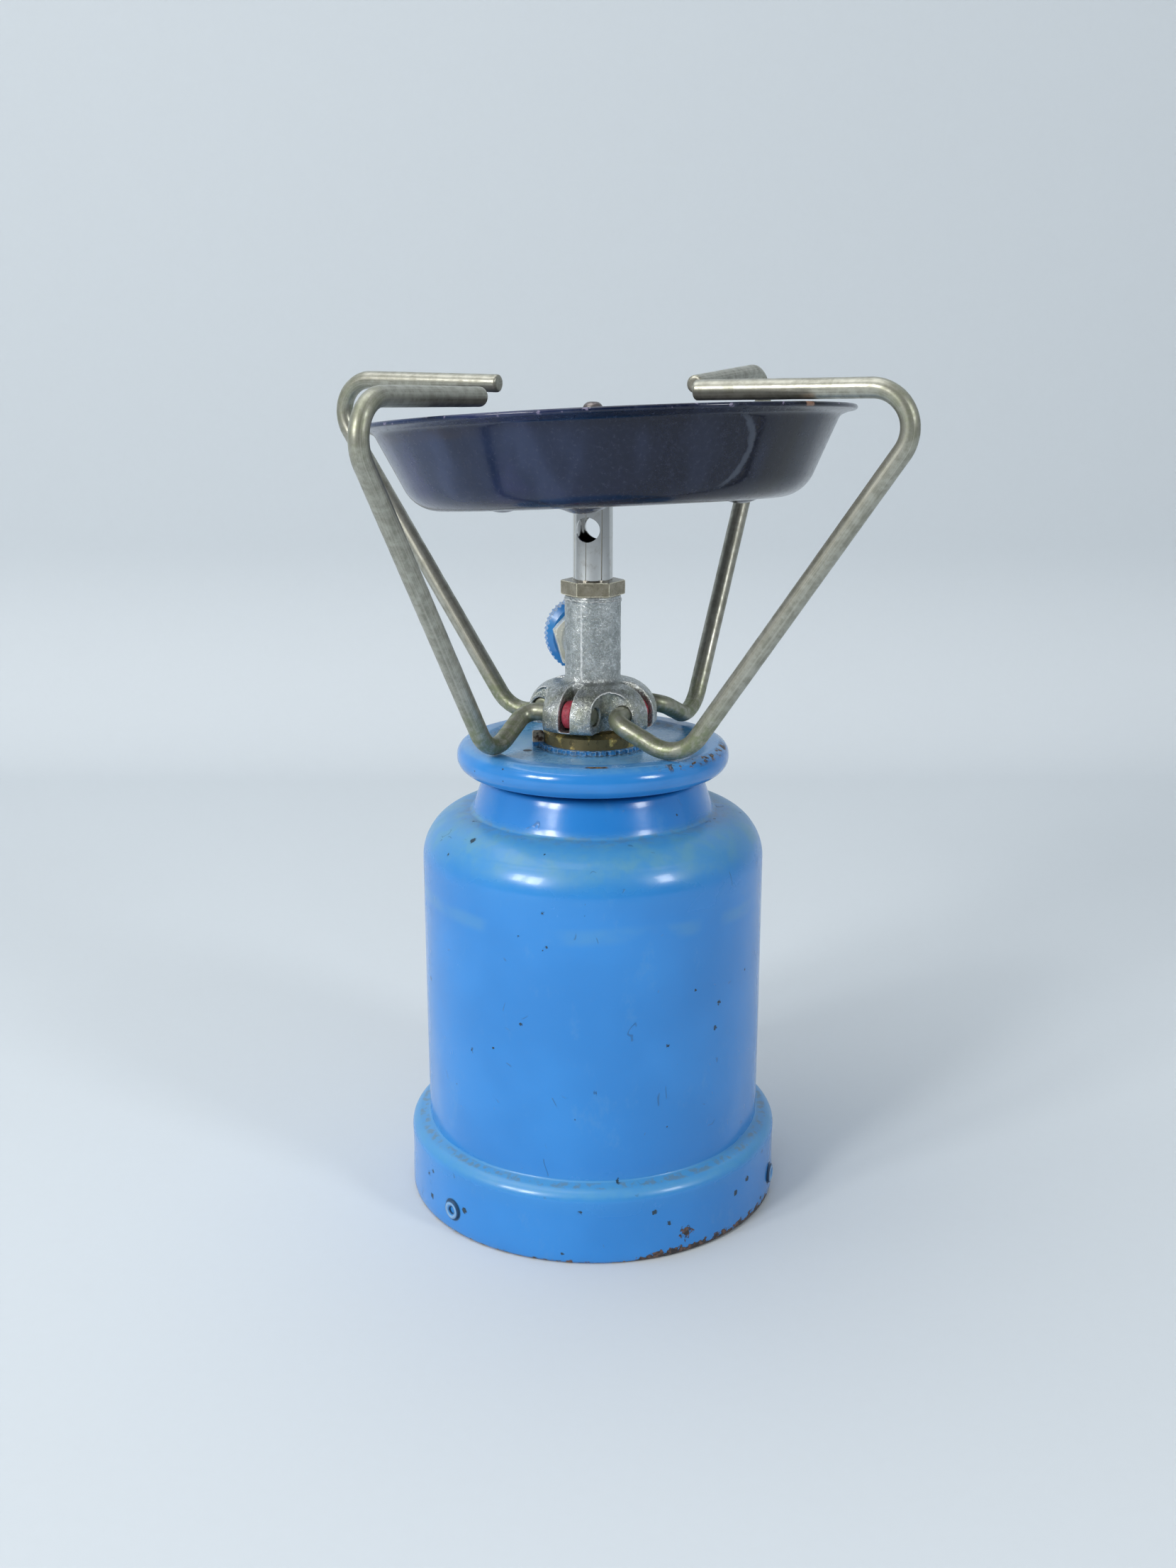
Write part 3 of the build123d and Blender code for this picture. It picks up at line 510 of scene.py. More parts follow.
def bowl_enamel():
    """Blue-black vitreous enamel: specks, a bluer cloud, a pale arc of scratches, brown worn edges, and
    painted light: lighter on the left and darker on the right, with painted reflections and a painted
    shadow band.
    """
    shade = Shade("bowl_enamel", "bowl_enamel")
    joint = JOINTS["bowl_spin"]
    offset = {0: shade.place, 1: tuple(joint["pos_m"])}
    from_centre = shade.add("ShaderNodeVectorMath", offset, operation="SUBTRACT").outputs[0]
    on_axis = {0: from_centre, 1: tuple(joint["axis"])}
    height = shade.add("ShaderNodeVectorMath", on_axis, operation="DOT_PRODUCT").outputs["Value"]
    around = shade.bearing()
    # painted light and shade: the enamel is painted lighter on the left of the bowl and darker on the right
    drifting = shade.plus(shade.x, shade.times(shade.noise(30, 2.0), 0.034))
    side = shade.step(drifting, -0.030, 0.044)
    colour = shade.mix(side, srgb(32, 46, 76), srgb(10, 18, 38))
    # painted reflections: soft violet-blue patches on the left of the wall
    painted_reflection_patches = shade.patches(17, 3.0, 0.48, 0.66, shift=(0.4, 0, 0.2))
    painted_reflection_patches = shade.times(painted_reflection_patches, shade.opposite(side))
    colour = shade.mix(shade.times(painted_reflection_patches, 0.65), colour, srgb(44, 48, 90))
    # painted reflections: soft upright pale bands, fainter on the right
    painted_reflection_bands = shade.patches(12, 2.0, 0.48, 0.66, stretch=(1, 1, 0.12), shift=(0.1, 0.3, 0))
    colour = shade.mix(shade.times(painted_reflection_bands, shade.spread(side, 0.40, 0.14)), colour, srgb(62, 74, 106))
    clouded = shade.patches(1.1, 5.0, 0.46, 0.64, 0.7)
    colour = shade.mix(shade.times(clouded, 0.16), colour, srgb(62, 68, 90))
    # painted shadow: a dark upright band on the right of the wall
    painted_shadow_band = shade.times(shade.band(around, 49, 2.5, 5), 0.7)
    colour = shade.mix(painted_shadow_band, colour, srgb(8, 8, 14))

    distance, tint = shade.cells(0.75)
    pick = shade.add("ShaderNodeSeparateColor", {"Color": tint}).outputs["Red"]
    specks = shade.times(shade.step(distance, 0.15, 0.08), shade.step(pick, 0.10, 0.08))
    colour = shade.mix(shade.times(specks, 0.22), colour, srgb(120, 134, 170))

    # a pale arc of fine scratches on the right of the wall; a brown stain under the rim, and brown along
    # the foot that is a painted reflection of a brown table top
    bow = shade.minus(height, 0.0125)
    arc = shade.minus(around, shade.minus(38.0, shade.times(bow, bow, 70000.0)))
    arc = shade.plus(arc, shade.times(shade.minus(shade.noise(4, 3.0), 0.5), 2.6))
    rubbed = shade.times(shade.band(arc, 0.0, 0.3, 1.1), shade.band(height, 0.0120, 0.0060, 0.0040))
    colour = shade.mix(shade.times(rubbed, 0.32), colour, srgb(112, 122, 138))
    foot = shade.band(height, 0.0006, 0.0004, 0.0022)
    under_rim = shade.times(shade.band(height, 0.0188, 0.0008, 0.0016), shade.band(around, -62, 20, 22))
    uneven = shade.spread(shade.patches(7, 3.0, 0.35, 0.65), 0.30, 1.0)
    # brown along the foot is a painted reflection; under the rim it is a stain
    stain_and_painted_reflection = shade.times(shade.either(foot, under_rim), uneven)
    colour = shade.mix(shade.times(stain_and_painted_reflection, 0.35), colour, srgb(64, 52, 48))

    rim = shade.step(height, 0.0211, 0.0217)
    # pale rim speckles: partly worn enamel, partly painted glints
    worn = shade.times(rim, shade.patches(2.0, 4.0, 0.60, 0.66))
    chip = shade.times(rim, shade.band(around, 49, 1.0, 0.6))
    colour = shade.mix(shade.times(worn, 0.5), colour, srgb(150, 140, 168))
    colour = shade.mix(shade.times(chip, 0.9), colour, srgb(142, 110, 92))

    rough = shade.spread(clouded, 0.16, 0.28)
    rough = shade.plus(rough, shade.times(rubbed, 0.25))
    grain = shade.bump(shade.noise(0.5, 4.0, 0.6), 0.008)
    orange = shade.bump(shade.noise(5.0, 2.5), 0.05, grain)
    flow = shade.bump(shade.noise(24, 1.0), 0.30, orange)
    return shade.finish(colour, 0.0, rough, flow, coat=0.20, coat_roughness=0.10, specular=0.30)


def nickel_wire():
    """Dull nickel plate with drawing lines along the wire, olive tarnish low down and in the bends."""
    shade = Shade("nickel_wire", "arm_nickel")
    wire = shade.add("ShaderNodeAttribute", attribute_name="wire_place").outputs["Vector"]
    bend = shade.add("ShaderNodeAttribute", attribute_name="wire_bend").outputs["Fac"]
    drawn = shade.noise(0.16, 3.0, 0.6, stretch=(1, 1, 0.035), source=wire)
    mottled = shade.noise(2.6, 5.0, 0.66)
    colour = shade.mix(shade.step(mottled, 0.34, 0.66), srgb(164, 164, 153), srgb(134, 134, 122))
    colour = shade.mix(shade.times(shade.step(drawn, 0.42, 0.66), 0.35), colour, srgb(198, 196, 184))
    low = shade.step(shade.z, 0.152, 0.134)
    patch = shade.patches(2.0, 5.0, 0.40, 0.62, 0.64, shift=(0.1, 0.2, 0.3))
    tarnish = shade.either(shade.times(low, 0.95), shade.times(bend, 0.42))
    tarnish = shade.times(tarnish, shade.spread(patch, 0.30, 1.0))
    colour = shade.mix(tarnish, colour, srgb(122, 130, 98))
    speck_noise = shade.patches(0.55, 4.0, 0.62, 0.70, 0.7)
    spots = shade.times(speck_noise, shade.either(shade.times(low, 0.8), 0.16))
    colour = shade.mix(spots, colour, srgb(74, 70, 54))
    rough = shade.spread(shade.step(mottled, 0.3, 0.7), 0.29, 0.41)
    rough = shade.plus(rough, shade.times(tarnish, 0.16))
    lines = shade.bump(drawn, 0.006)
    pits = shade.bump(shade.opposite(spots), 0.02, lines)
    wave = shade.bump(shade.noise(3.2, 2.0), 0.02, pits)
    return shade.finish(colour, 0.66, rough, wave)


def zinc_casting():
    """Rough bright die casting: a peened skin with glints, dull hollows, a machined band at the top, and
    painted highlights in white along its edges.
    """
    shade = Shade("zinc_casting", "zinc_casting")
    grain = shade.noise(0.62, 5.0, 0.66)
    blotch = shade.noise(3.6, 4.0, 0.6)
    colour = shade.mix(shade.step(blotch, 0.35, 0.65), srgb(210, 215, 216), srgb(172, 178, 178))
    colour = shade.mix(shade.times(shade.step(grain, 0.58, 0.36), 0.55), colour, srgb(112, 118, 118))
    low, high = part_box("hub_casting")
    foot = shade.step(shade.z, low.z + 0.015, low.z + 0.009)
    foot = shade.times(foot, shade.patches(3.0, 4.0, 0.40, 0.62))
    colour = shade.mix(shade.times(foot, 0.40), colour, srgb(150, 154, 124))
    # painted highlight: edges painted near white, and less metallic there, so that they show bright
    edge = shade.edges(0.60)
    colour = shade.mix(edge, colour, srgb(252, 254, 255))
    ragged = shade.plus(shade.z, shade.times(shade.noise(1.5, 3.0), 0.0006))
    machined = shade.step(ragged, high.z - 0.0012, high.z - 0.0010)
    rough = shade.spread(shade.step(grain, 0.3, 0.7), 0.42, 0.18)
    rough = shade.either(rough, shade.times(machined, 0.34))
    coarse = shade.bump(shade.times(shade.noise(1.5, 3.0, 0.6), shade.opposite(machined)), 0.20)
    fine = shade.bump(shade.times(grain, shade.spread(machined, 1.0, 0.12)), 0.19, coarse)
    return shade.finish(colour, shade.spread(edge, 0.82, 0.2), rough, fine)


def dull_metal(name, slot, tones, rough_range, size=2.5, edge_highlight_colour=None, depth=0.02, metallic=0.75):
    """A turned or pressed metal part: two tones, fine grain, and, when an edge highlight colour is given,
    painted highlights along its edges.
    """
    shade = Shade(name, slot)
    colour = shade.mix(shade.patches(size, 5.0, 0.34, 0.66, 0.62), *tones)
    if edge_highlight_colour:
        # painted highlight: edges take the given pale colour and turn less metallic, so that they show
        # bright
        edge = shade.times(shade.edges(0.5), shade.patches(0.8, 3.0, 0.26, 0.44))
        colour = shade.mix(edge, colour, edge_highlight_colour)
        metallic = shade.spread(edge, metallic, 0.1)
    rough = shade.spread(shade.noise(size * 0.6, 4.0), *rough_range)
    turned = shade.noise(0.28, 3.0, 0.6, stretch=(0.06, 0.06, 1))
    return shade.finish(colour, metallic, rough, shade.bump(turned, depth))


def bush_brass():
    """Brass gone dull, polished in places, with dark grime."""
    shade = Shade("bush_brass", "bush_brass")
    polished = shade.patches(3.0, 4.0, 0.52, 0.62, 0.6)
    colour = shade.mix(polished, srgb(128, 116, 80), srgb(236, 206, 124))
    grime = shade.patches(1.2, 5.0, 0.52, 0.66, 0.65, shift=(0.1, 0, 0))
    colour = shade.mix(shade.times(grime, 0.5), colour, srgb(66, 60, 44))
    rough = shade.spread(polished, 0.42, 0.24)
    lines = shade.bump(shade.noise(0.25, 3.0, 0.6, stretch=(0.05, 0.05, 1)), 0.02)
    return shade.finish(colour, 0.6, rough, shade.bump(grime, 0.03, lines))


def chrome():
    """Mirror chrome with a little warm haze."""
    shade = Shade("tube_chrome", "tube_chrome")
    hazed = shade.patches(2.2, 5.0, 0.50, 0.72, 0.7)
    colour = shade.mix(shade.times(hazed, 0.35), srgb(214, 214, 212), srgb(168, 160, 146))
    rough = shade.spread(hazed, 0.045, 0.16)
    return shade.finish(colour, 1.0, rough, shade.bump(shade.noise(4.0, 1.5), 0.008))


def rubber(name, light, dark):
    """Soft matt rubber with a little dust."""
    shade = Shade(name, name)
    colour = shade.mix(shade.patches(1.4, 4.0, 0.35, 0.65), light, dark)
    dusty = shade.times(shade.patches(0.5, 4.0, 0.45, 0.7), 0.25)
    colour = shade.mix(dusty, colour, srgb(170, 150, 150))
    return shade.finish(colour, 0.0, 0.62, shade.bump(shade.noise(0.4, 4.0), 0.03))


def burner_steel():
    """Steel greyed and blued by heat, with a little soot."""
    shade = Shade("burner_steel", "burner_steel")
    heat = shade.patches(8, 3.0, 0.34, 0.66)
    colour = shade.mix(heat, srgb(132, 126, 122), srgb(104, 98, 104))
    soot = shade.patches(1.8, 5.0, 0.50, 0.68, 0.68)
    colour = shade.mix(shade.times(soot, 0.6), colour, srgb(60, 54, 52))
    rough = shade.spread(soot, 0.34, 0.58)
    return shade.finish(colour, 0.9, rough, shade.bump(shade.noise(0.7, 4.0), 0.03))


MATERIALS = {
    "housing": housing_enamel(),
    "eyelet": eyelet_enamel(),
    "disc": disc_enamel(),
    "washer": washer_enamel(),
    "knob": knob_enamel(),
    "bowl": bowl_enamel(),
    "wire": nickel_wire(),
    "zinc": zinc_casting(),
    "brass": bush_brass(),
    "chrome": chrome(),
    "burner": burner_steel(),
    "nut": dull_metal(
        "nut_bronze", "nut_bronze", (srgb(168, 160, 142), srgb(140, 133, 114)), (0.22, 0.34),
        edge_highlight_colour=srgb(255, 250, 224),
    ),
    "gland": dull_metal(
        "gland_chrome", "tube_chrome", (srgb(228, 228, 216), srgb(206, 206, 192)), (0.20, 0.32),
        edge_highlight_colour=srgb(246, 246, 240), metallic=0.5,
    ),
    "steel": dull_metal(
        "plain_steel", "plain_steel", (srgb(168, 168, 166), srgb(132, 130, 126)), (0.32, 0.46),
    ),
    "lacquer": dull_metal(
        "cartridge_lacquer", "cartridge_lacquer", (srgb(70, 96, 150), srgb(56, 82, 134)), (0.30, 0.40),
    ),
    "sinter": dull_metal(
        "sinter_bronze", "sinter_bronze", (srgb(160, 130, 86), srgb(120, 96, 62)), (0.50, 0.65),
        size=0.5, depth=0.08,
    ),
    "black_rubber": rubber("black_rubber", srgb(40, 40, 40), srgb(26, 26, 26)),
    "red_rubber": rubber("red_rubber", srgb(178, 58, 76), srgb(150, 40, 58)),
}
NODES_OF = {
    "housing": ("housing",),
    "eyelet": ("eyelet_rivets",),
    "disc": ("hand_disc",),
    "washer": ("lock_washer",),
    "knob": ("control_knob",),
    "bowl": ("windshield_bowl",),
    "wire": tuple(name for name in NODES if name.startswith("pot_arm")),
    "zinc": ("hub_casting",),
    "brass": ("neck_ring", "threaded_bush", "jet"),
    "chrome": ("burner_tube",),
    "burner": ("burner_base", "burner_bridge", "burner_cap", "cap_screw"),
    "nut": ("tube_nut",),
    "gland": ("gland_nut",),
    "steel": (
        "retaining_lugs", "base_plate", "piercing_needle", "valve_spindle", "knob_screw", "bowl_collar",
    ),
    "lacquer": ("gas_cartridge",),
    "sinter": ("jet_filter",),
    "black_rubber": ("cartridge_seal", "stem_seal"),
    "red_rubber": tuple(name for name in NODES if name.startswith("friction_ring")),
}
for key, node_names in NODES_OF.items():
    for node_name in node_names:
        node_materials = NODES[node_name].data.materials
        node_materials.clear()
        node_materials.append(MATERIALS[key].material)


# ---------------------------------------------------------------- housing shell
def housing_shell():
    """The drawn shell, slightly wavy from use, with a few shallow dents."""
    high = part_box("housing")[1]
    skirt, top = high.x / MM, high.z / MM
    thickness = 0.8
    half = thickness / 2
    body, neck_base, neck_top, bore = 47.4, 33.6, 30.2, 17.2
    step_z, shoulder_z = 20.6, top - 10.0
    hem, step_drop = 2.2, 0.6
    corners = [
        (skirt - hem, half),
        (skirt - half, half),
        (skirt - half, step_z - half),
        (body - half, step_z + step_drop),
        (body - half, shoulder_z - half),
        (neck_base - half, shoulder_z - half),
        (neck_top - half, top - half),
        (bore, top - half),
    ]
    line = rounded(corners, [0.8, 3.2, 1.0, 12.6, 1.4, 1.4], step=0.45)
    outline = sheet(stepped(line, 2.0), thickness)
    # azimuth, height, reach round the body, reach up it, and depth, all but the first in millimetres
    dents = (
        (-72, 33, 7, 12, 0.35),
        (66, 30, 8, 13, 0.45),
        (-86, 12, 9, 6, 0.25),
        (140, 60, 12, 10, 0.4),
        (82, 11, 7, 6, 0.25),
    )
    waviness = 0.05

    def warp(point):
        out = Vector((point.x, point.y, 0))
        radius = out.length / MM
        if radius < body - 3:
            return point
        height = point.z / MM
        angle = bearing(point)
        depth = waviness * (1 + noise.noise(Vector((point.x * 38, point.y * 38, point.z * 26))))
        for azimuth, z, wide, tall, deep in dents:
            gap = radians(turn_gap(angle, azimuth)) * radius / wide
            rise = (height - z) / tall
            depth += deep * np.exp(-gap * gap - rise * rise)
        return point - out.normalized() * depth * MM

    vertices, faces = lathe(outline, 288, warp)
    return piece("housing_shell", vertices, faces, "housing_unit", MATERIALS["housing"], "housing")


housing_shell()


# ---------------------------------------------------------------- hand disc
def disc_pressing():
    """The pressed disc: a shallow well with a groove near its edge, and a deep rolled rim."""
    lo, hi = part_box("hand_disc")
    rim, top, low = hi.x / MM, hi.z / MM, lo.z / MM
    thickness = 0.8
    half = thickness / 2
    well_r, well_top, hole = 27.8, top - 1.45, 12.0
    well_slope, rolled_in = 2.4, 6.4
    groove_r, groove_width, groove_depth = 25.6, 0.5, 0.10
    flat_r, waviness = 36, 0.05
    corners = [
        (hole, well_top - half),
        (well_r, well_top - half),
        (well_r + well_slope, top - half),
        (rim - half, top - half),
        (rim - half, low + half),
        (rim - rolled_in, low + half),
    ]
    line = rounded(corners, [1.1, 0.9, 3.4, 3.4], step=0.3)
    outline = sheet(stepped(line, 1.2), thickness)

    def warp(point):
        radius = Vector((point.x, point.y)).length / MM
        sag = waviness * (1 + noise.noise(Vector((point.x * 70, point.y * 70, 3.1))))
        groove = groove_depth * np.exp(-((radius - groove_r) / groove_width) ** 2)
        return point - UP * (sag + groove) * MM if radius < flat_r else point

    vertices, faces = lathe(outline, 240, warp)
    return piece("disc_pressing", vertices, faces, "screwed_head", MATERIALS["disc"], "hand_disc")


disc_pressing()


# ---------------------------------------------------------------- windshield bowl
def bowl_matrix():
    """Places a bowl made upright about Z onto its leaning axis."""
    joint = JOINTS["bowl_spin"]
    lean = UP.rotation_difference(Vector(joint["axis"])).to_matrix().to_4x4()
    return Matrix.Translation(joint["pos_m"]) @ lean


def bowl_spinning():
    """The spun bowl: a raised centre, a flared wall with a beaded rim, and three pressed feet."""
    thickness = 0.7
    mid = thickness / 2
    depth, rim_r, wall_r, foot_r, hole, lift = 21.6, 64.6, 60.4, 50.6, 10.4, 4.35
    rim_z = depth + mid
    line = rounded(
        [(hole, lift), (19.8, lift), (22.6, mid), (foot_r, mid), (wall_r, rim_z - 1.6), (rim_r, rim_z)],
        [1.4, 1.4, 10.0, 2.4],
        step=0.5,
    )
    outline = sheet(stepped(line, 0.8), thickness)
    top_half, bottom_half = outline[: len(outline) // 2], outline[len(outline) // 2:]
    over, under = radians(136), radians(-157)
    bead_r, bead_x, bead_z = 0.65, rim_r - 0.15, rim_z - 0.1
    bead = [(bead_x + bead_r * cos(a), bead_z + bead_r * sin(a)) for a in np.linspace(over, under, 18)]
    foot_circle, foot_reach, foot_depth, foot_limit = 38.5, 5.9, 1.65, 7.5
    feet = [Vector((sin(radians(a)), -cos(radians(a)), 0)) * foot_circle * MM for a in (-10, 110, 230)]
    wobble, calm_inside = 0.10, 0.05
    place = bowl_matrix()

    def warp(point):
        flat = Vector((point.x, point.y, 0))
        for foot in feet:
            away = (flat - foot).length / MM
            if away < foot_limit and point.z < 3 * MM:
                share = min(1.0, away / foot_reach)
                point = point - UP * foot_depth * MM * (1 - share * share) ** 1.15
        out = flat.normalized()
        uneven = wobble * noise.noise(Vector((point.x * 26, point.y * 26, point.z * 20)))
        return place @ (point + out * uneven * MM * min(1.0, flat.length / calm_inside) - out * wobble * MM)

    outline = np.vstack([top_half[:-1], bead, bottom_half[1:]])
    vertices, faces = lathe(outline, 300, warp)
    return piece("bowl_spinning", vertices, faces, "bowl_unit", MATERIALS["bowl"], "windshield_bowl")


bowl_spinning()


# ---------------------------------------------------------------- pot arms
def space_rounded(points, radii, step):
    """Even points on a path of straight runs and arcs, and how far each point is into a bend."""
    line, bends = [points[0]], [0.0]
    for before, corner, after, radius in zip(points, points[1:], points[2:], radii):
        back = (before - corner).normalized()
        ahead = (after - corner).normalized()
        half = back.angle(ahead) / 2
        middle = corner + (back + ahead).normalized() * radius / sin(half)
        start = corner + back * radius / tan(half) - middle
        end = corner + ahead * radius / tan(half) - middle
        sweep = pi - 2 * half
        count = max(8, int(radius * sweep / step))
        for k in range(count + 1):
            share = k / count
            blend = start * sin((1 - share) * sweep) + end * sin(share * sweep)
            line.append(middle + blend / sin(sweep))
            bends.append(sin(share * pi))
    line.append(points[-1])
    bends.append(0.0)
    dense, shares = [line[0]], [0.0]
    for start, end, first, last in zip(line, line[1:], bends, bends[1:]):
        count = max(1, int((end - start).length / step))
        for k in range(1, count + 1):
            dense.append(start.lerp(end, k / count))
            shares.append(first + (last - first) * k / count)
    return dense, shares


# the wire's radius, and how far the pin runs from its joint to its end and to its bend, in millimetres
WIRE_R, PIN_END, PIN_BEND = 2.5, 6.6, 13.9
# out and up from the pin to the middle of each corner, and the radii of the three bends
FOOT, PEAK, TIP = (19.8, -9.23), (83.6, 85.6), (22.8, 84.4)
BEND_RADII = (4.5, 10.5, 9.3)
# how far in from a cut end each ring is, in millimetres, and its share of the wire's radius
FILED_END = ((0.0, 0.0), (0.0, 0.55), (0.0, 0.80), (0.16, 0.92), (0.42, 0.985))


def arm_wire(name, joint_name, lift, slide, peak_off, tip_off):
    """One bent wire, swept round, a little flattened on its bends, with cut and filed ends."""
    joint = JOINTS[joint_name]
    pin, side = Vector(joint["pos_m"]), Vector(joint["axis"])
    out = UP.cross(side)
    offset = PIN_BEND + slide
    peak = (PEAK[0] + peak_off[0], PEAK[1] + peak_off[1])
    tip = (TIP[0] + tip_off[0], TIP[1] + tip_off[1])
    corners = [(0, 0, slide - PIN_END), (0, 0, offset), (*FOOT, offset), (*peak, offset), (*tip, offset)]
    swing = Matrix.Rotation(radians(lift), 3, "Z")
    points = [swing @ Vector(corner) for corner in corners]
    points = [pin + (out * p.x + UP * p.y + side * p.z) * MM for p in points]
    line, bends = space_rounded(points, [r * MM for r in BEND_RADII], 0.9 * MM)

    sections, flattening, unevenness = 32, 0.055, 0.03
    first = (line[1] - line[0]).normalized()
    final = (line[-1] - line[-2]).normalized()
    last = len(line) - 1
    rings = [(line[0] + first * inset * MM, share, 0) for inset, share in FILED_END]
    rings += [(point, 1.0, i) for i, point in enumerate(line) if 0 < i < last]
    rings += [(line[-1] - final * inset * MM, share, last) for inset, share in reversed(FILED_END)]

    vertices, places, bent = [], [], []
    across = first.orthogonal().normalized()
    travelled = 0.0
    previous = rings[0][0]
    for centre, share, i in rings:
        ahead = (line[min(i + 1, last)] - line[max(i - 1, 0)]).normalized()
        across = (across - ahead * across.dot(ahead)).normalized()
        other = ahead.cross(across)
        travelled += (centre - previous).length
        previous = centre
        turn_in = Vector((0, 0, 0))
        if 0 < i < last:
            turn_in = line[i - 1] + line[i + 1] - line[i] * 2
        inward = turn_in.normalized() if turn_in.length > 1e-7 else Vector((0, 0, 0))
        for k in range(sections):
            angle = 2 * pi * k / sections
            ray = across * cos(angle) + other * sin(angle)
            squeeze = flattening * bends[i] * abs(ray.dot(inward))
            spot = centre + ray * WIRE_R * MM * share * (1 - squeeze)
            spot -= ray * MM * unevenness * (1 + noise.noise(spot * 260)) * min(1, share)
            vertices.append(spot)
            places.append((cos(angle), sin(angle), travelled * 100))
            bent.append(bends[i])
    layers = [("wire_place", "FLOAT_VECTOR", "vector", places), ("wire_bend", "FLOAT", "value", bent)]
    faces = sleeve(len(rings), sections)
    node_name = name.replace("arm_wire", "pot_arm")
    return piece(name, vertices, faces, joint["child"], MATERIALS["wire"], node_name, 50, layers)


# each arm's lift in degrees, how far its pin is pulled out, and how far its peak and tip are off
ARMS = {
    "front_left": (0.0, 0.0, (-1.2, -1.5), (-1.2, -1.5)),
    "front_right": (0.0, 0.0, (1.2, 0.1), (-0.4, 0.1)),
    "rear_right": (2.5, 1.3, (0.0, 0.0), (0.0, 0.0)),
    "rear_left": (0.0, 0.0, (0.9, 1.1), (0.9, 1.1)),
}
for arm, differences in ARMS.items():
    arm_wire("arm_wire_" + arm, "fold_" + arm, *differences)


# ---------------------------------------------------------------- casting surface
def cast_surface(node, voxel):
    """Softens a CAD node into a casting: rounded edges and a slightly lumpy skin."""
    remesh = node.modifiers.new("cast", "REMESH")
    remesh.mode = "VOXEL"
    remesh.voxel_size = voxel * MM
    remesh.use_smooth_shade = True
    smooth = node.modifiers.new("soften", "SMOOTH")
    smooth.factor = 0.5
    smooth.iterations = 3
    texture = bpy.data.textures.new("cast_skin", "CLOUDS")
    texture.noise_scale = 1.4 * MM
    texture.noise_depth = 2
    lumps = node.modifiers.new("lumps", "DISPLACE")
    lumps.texture = texture
    lumps.texture_coords = "LOCAL"
    lumps.strength = 0.16 * MM
    lumps.mid_level = 0.6


cast_surface(NODES["hub_casting"], 0.28)


def parting_ridge(name, azimuth):
    """The low, uneven ridge that the die's joint leaves up the column."""
    base, top, level = 148.4, 170.2, 0.3
    radius, half_width, height = 7.55, 0.34, 0.26
    out = Vector((sin(radians(azimuth)), -cos(radians(azimuth)), 0))
    side = UP.cross(out)
    vertices = []
    levels = np.arange(base, top, level)
    section = [(-1.0, -0.35), (-0.55, 0.55), (0.0, 1.0), (0.55, 0.55), (1.0, -0.35)]
    for z in levels:
        swell = 0.65 + 0.5 * noise.noise(Vector((0.3, azimuth, z * 0.9)))
        drift = 0.10 * noise.noise(Vector((azimuth, 0.7, z * 0.5)))
        for across, rise in section:
            spot = out * (radius + height * rise * swell) + side * (drift + half_width * across) + UP * z
            vertices.append(spot * MM)
    count = len(section)
    faces = sleeve(len(levels), count)
    faces.append(tuple(range(count)))
    faces.append(tuple(reversed(range(len(vertices) - count, len(vertices)))))
    return piece(name, vertices, faces, "screwed_head", MATERIALS["zinc"], sharp=60)


parting_ridge("parting_ridge_front", -24)
parting_ridge("parting_ridge_rear", 156)


def column_lip():
    """The ragged edge of casting skin that is left below the machined top of the column."""
    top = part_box("hub_casting")[1].z / MM
    section = [(7.40, 1.9), (7.72, 1.7), (7.80, 1.35), (7.74, 1.05), (7.40, 0.95)]
    raggedness = 0.42

    def warp(point):
        ragged = noise.noise(point * 700) + 0.6 * noise.noise(point * 1900)
        return point + UP * ragged * raggedness * MM

    outline = [(radius, top - below) for radius, below in section]
    vertices, faces = lathe(outline, 220, warp)
    return piece("column_lip", vertices, faces, "screwed_head", MATERIALS["zinc"], sharp=60)


column_lip()


def rounded_edges(node, width):
    """Rounds a CAD node's edges a little, so that they catch the light."""
    bevel = node.modifiers.new("rounded_edges", "BEVEL")
    bevel.width = width * MM
    bevel.segments = 2
    bevel.limit_method = "ANGLE"
    bevel.angle_limit = radians(35)


rounded_edges(NODES["lock_washer"], 0.14)
rounded_edges(NODES["tube_nut"], 0.12)
rounded_edges(NODES["gland_nut"], 0.20)


# ---------------------------------------------------------------- floor, light, camera
def floor_paint():
    """Plain matt paint, very faintly uneven."""
    shade = Shade("pale_floor", "")
    uneven = shade.times(shade.noise(3.0, 3.0), 0.04)
    return shade.finish(shade.mix(uneven, srgb(196, 203, 208), srgb(150, 150, 150)), 0.0, 0.75)


def floor():
    """A pale floor that curves up into a pale back."""
    front, back, bend, width, height = -3.0, 0.46, 0.12, 4.0, 2.6
    curve = [(front, 0.0), (back, 0.0)]
    curve += [(back + bend * sin(a), bend - bend * cos(a)) for a in np.linspace(0, pi / 2, 16)]
    curve += [(back + bend, height)]
    vertices = [(x, y, z) for y, z in curve for x in (-width, width)]
    faces = [(2 * i, 2 * i + 1, 2 * i + 3, 2 * i + 2) for i in range(len(curve) - 1)]
    mesh = bpy.data.meshes.new("floor")
    mesh.from_pydata(vertices, [], faces)
    mesh.polygons.foreach_set("use_smooth", [True] * len(mesh.polygons))
    made = bpy.data.objects.new("floor", mesh)
    bpy.context.scene.collection.objects.link(made)
    made.data.materials.append(floor_paint().material)


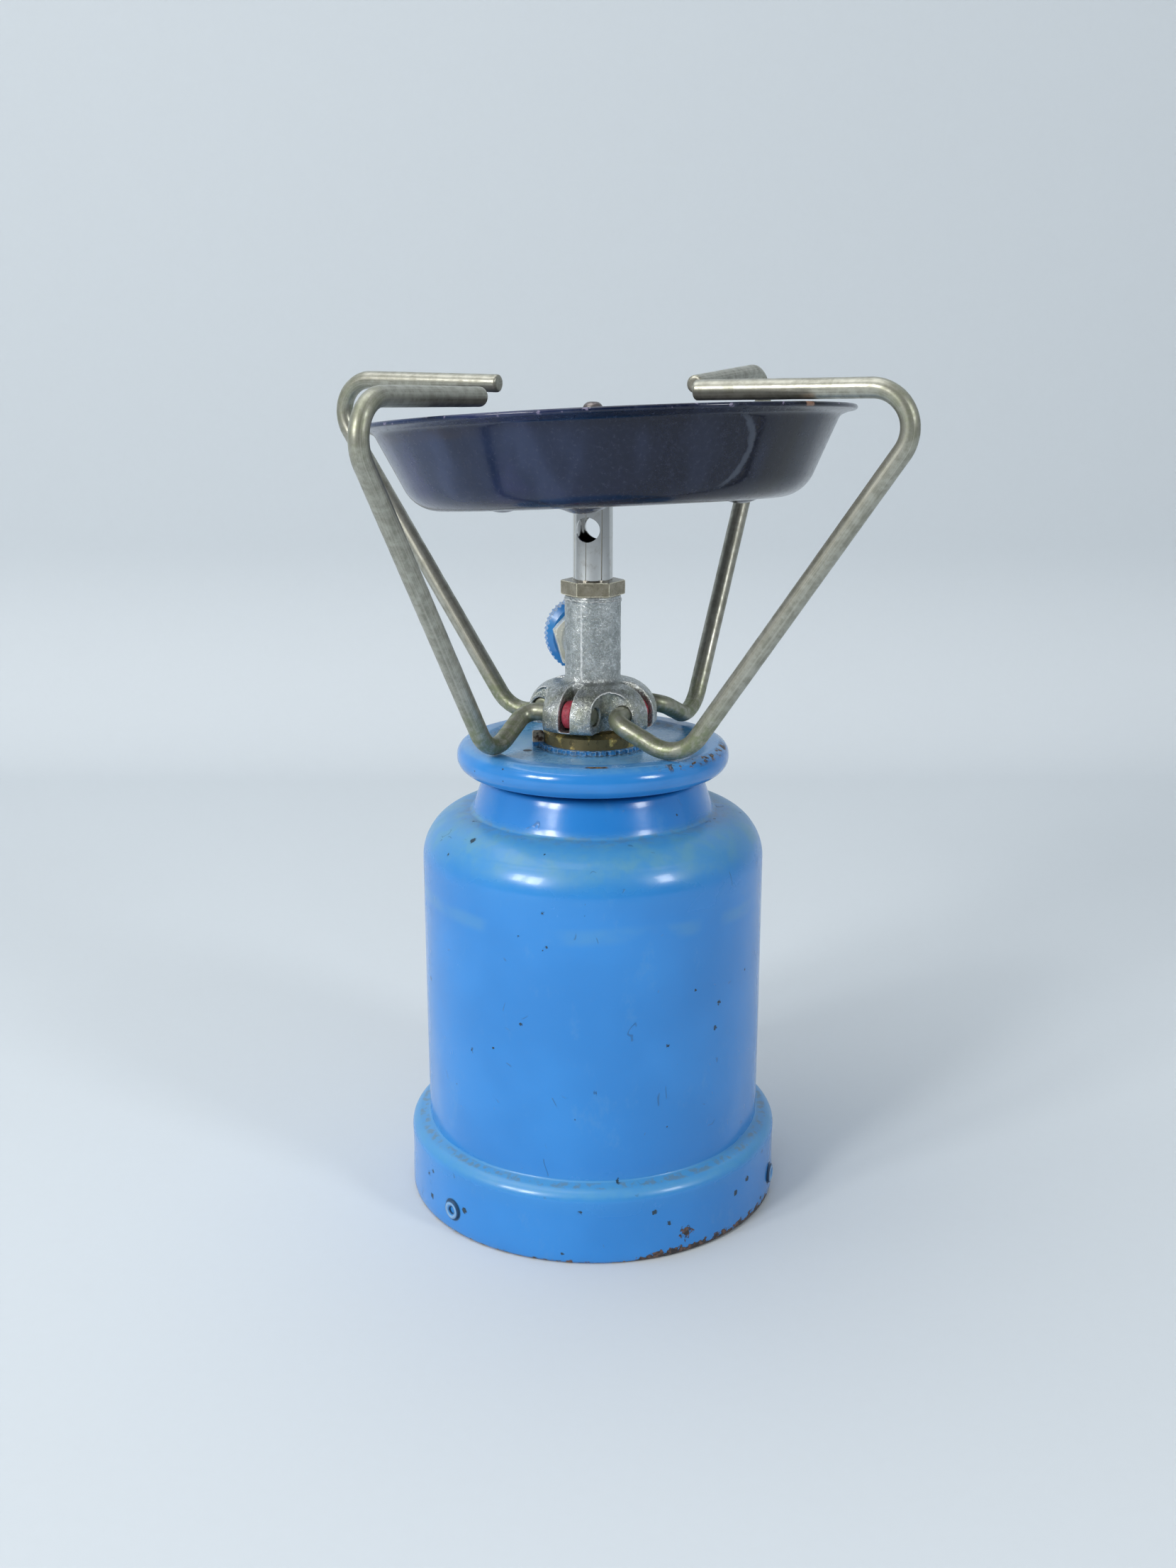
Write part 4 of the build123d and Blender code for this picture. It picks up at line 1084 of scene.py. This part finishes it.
def softbox(name, azimuth, elevation, size, power, colour):
    """A soft light that faces the stove from 1.5 m away."""
    data = bpy.data.lights.new(name, "AREA")
    data.shape = "RECTANGLE"
    data.size, data.size_y = size
    data.energy = power
    data.color = colour
    light = bpy.data.objects.new(name, data)
    a, e = radians(azimuth), radians(elevation)
    aim, distance = Vector((0, 0, 0.11)), 1.5
    light.location = aim + Vector((sin(a) * cos(e), -cos(a) * cos(e), sin(e))) * distance
    light.rotation_euler = (aim - light.location).to_track_quat("-Z", "Y").to_euler()
    bpy.context.scene.collection.objects.link(light)


def surroundings():
    """Plain grey light from all round, darker on the right; shiny surfaces mirror a darker front."""
    world = bpy.data.worlds.new("studio")
    bpy.context.scene.world = world
    sky = Shade("studio", "", world)
    overhead = sky.step(sky.z, -0.1, 0.8)
    colour = sky.mix(overhead, srgb(150, 154, 160), srgb(222, 226, 230))
    colour = sky.mix(sky.step(sky.x, -0.2, 0.9), colour, srgb(116, 120, 128))
    mirrored = sky.mix(sky.step(sky.y, -0.95, 0.20), srgb(52, 53, 55), srgb(196, 200, 203))
    mirror_ray = sky.add("ShaderNodeLightPath").outputs["Is Glossy Ray"]
    colour = sky.mix(mirror_ray, colour, mirrored)
    background = sky.add("ShaderNodeBackground", {"Color": colour, "Strength": 0.85})
    out = sky.add("ShaderNodeOutputWorld")
    sky.tree.links.new(background.outputs[0], out.inputs["Surface"])


def view():
    """The camera, at the photograph's angle."""
    data = bpy.data.cameras.new("camera")
    camera = bpy.data.objects.new("camera", data)
    bpy.context.scene.collection.objects.link(camera)
    pitch, roll = 14.79, 0.04
    camera.location = (-0.00127, -0.4263, 0.2303)
    camera.rotation_euler = (radians(90 - pitch), radians(roll), 0)
    data.lens = 36.46
    data.clip_start = 0.01
    bpy.context.scene.camera = camera
    bpy.context.scene.view_settings.view_transform = "Standard"


# name, azimuth and elevation in degrees, width and height in metres, power in watts, and colour
LIGHTS = (
    ("soft_left", -41, 28, (0.24, 0.40), 9, (1.0, 0.99, 0.97)),
    ("soft_far_left", -54, 28, (0.18, 0.34), 5, (1.0, 0.99, 0.97)),
    ("soft_right", 51, 28, (0.26, 0.38), 6, (0.97, 0.99, 1.0)),
    ("soft_top", -120, 74, (1.7, 1.3), 14, (1.0, 1.0, 1.0)),
)
floor()
for light_settings in LIGHTS:
    softbox(*light_settings)
surroundings()
view()

bpy.context.view_layer.update()
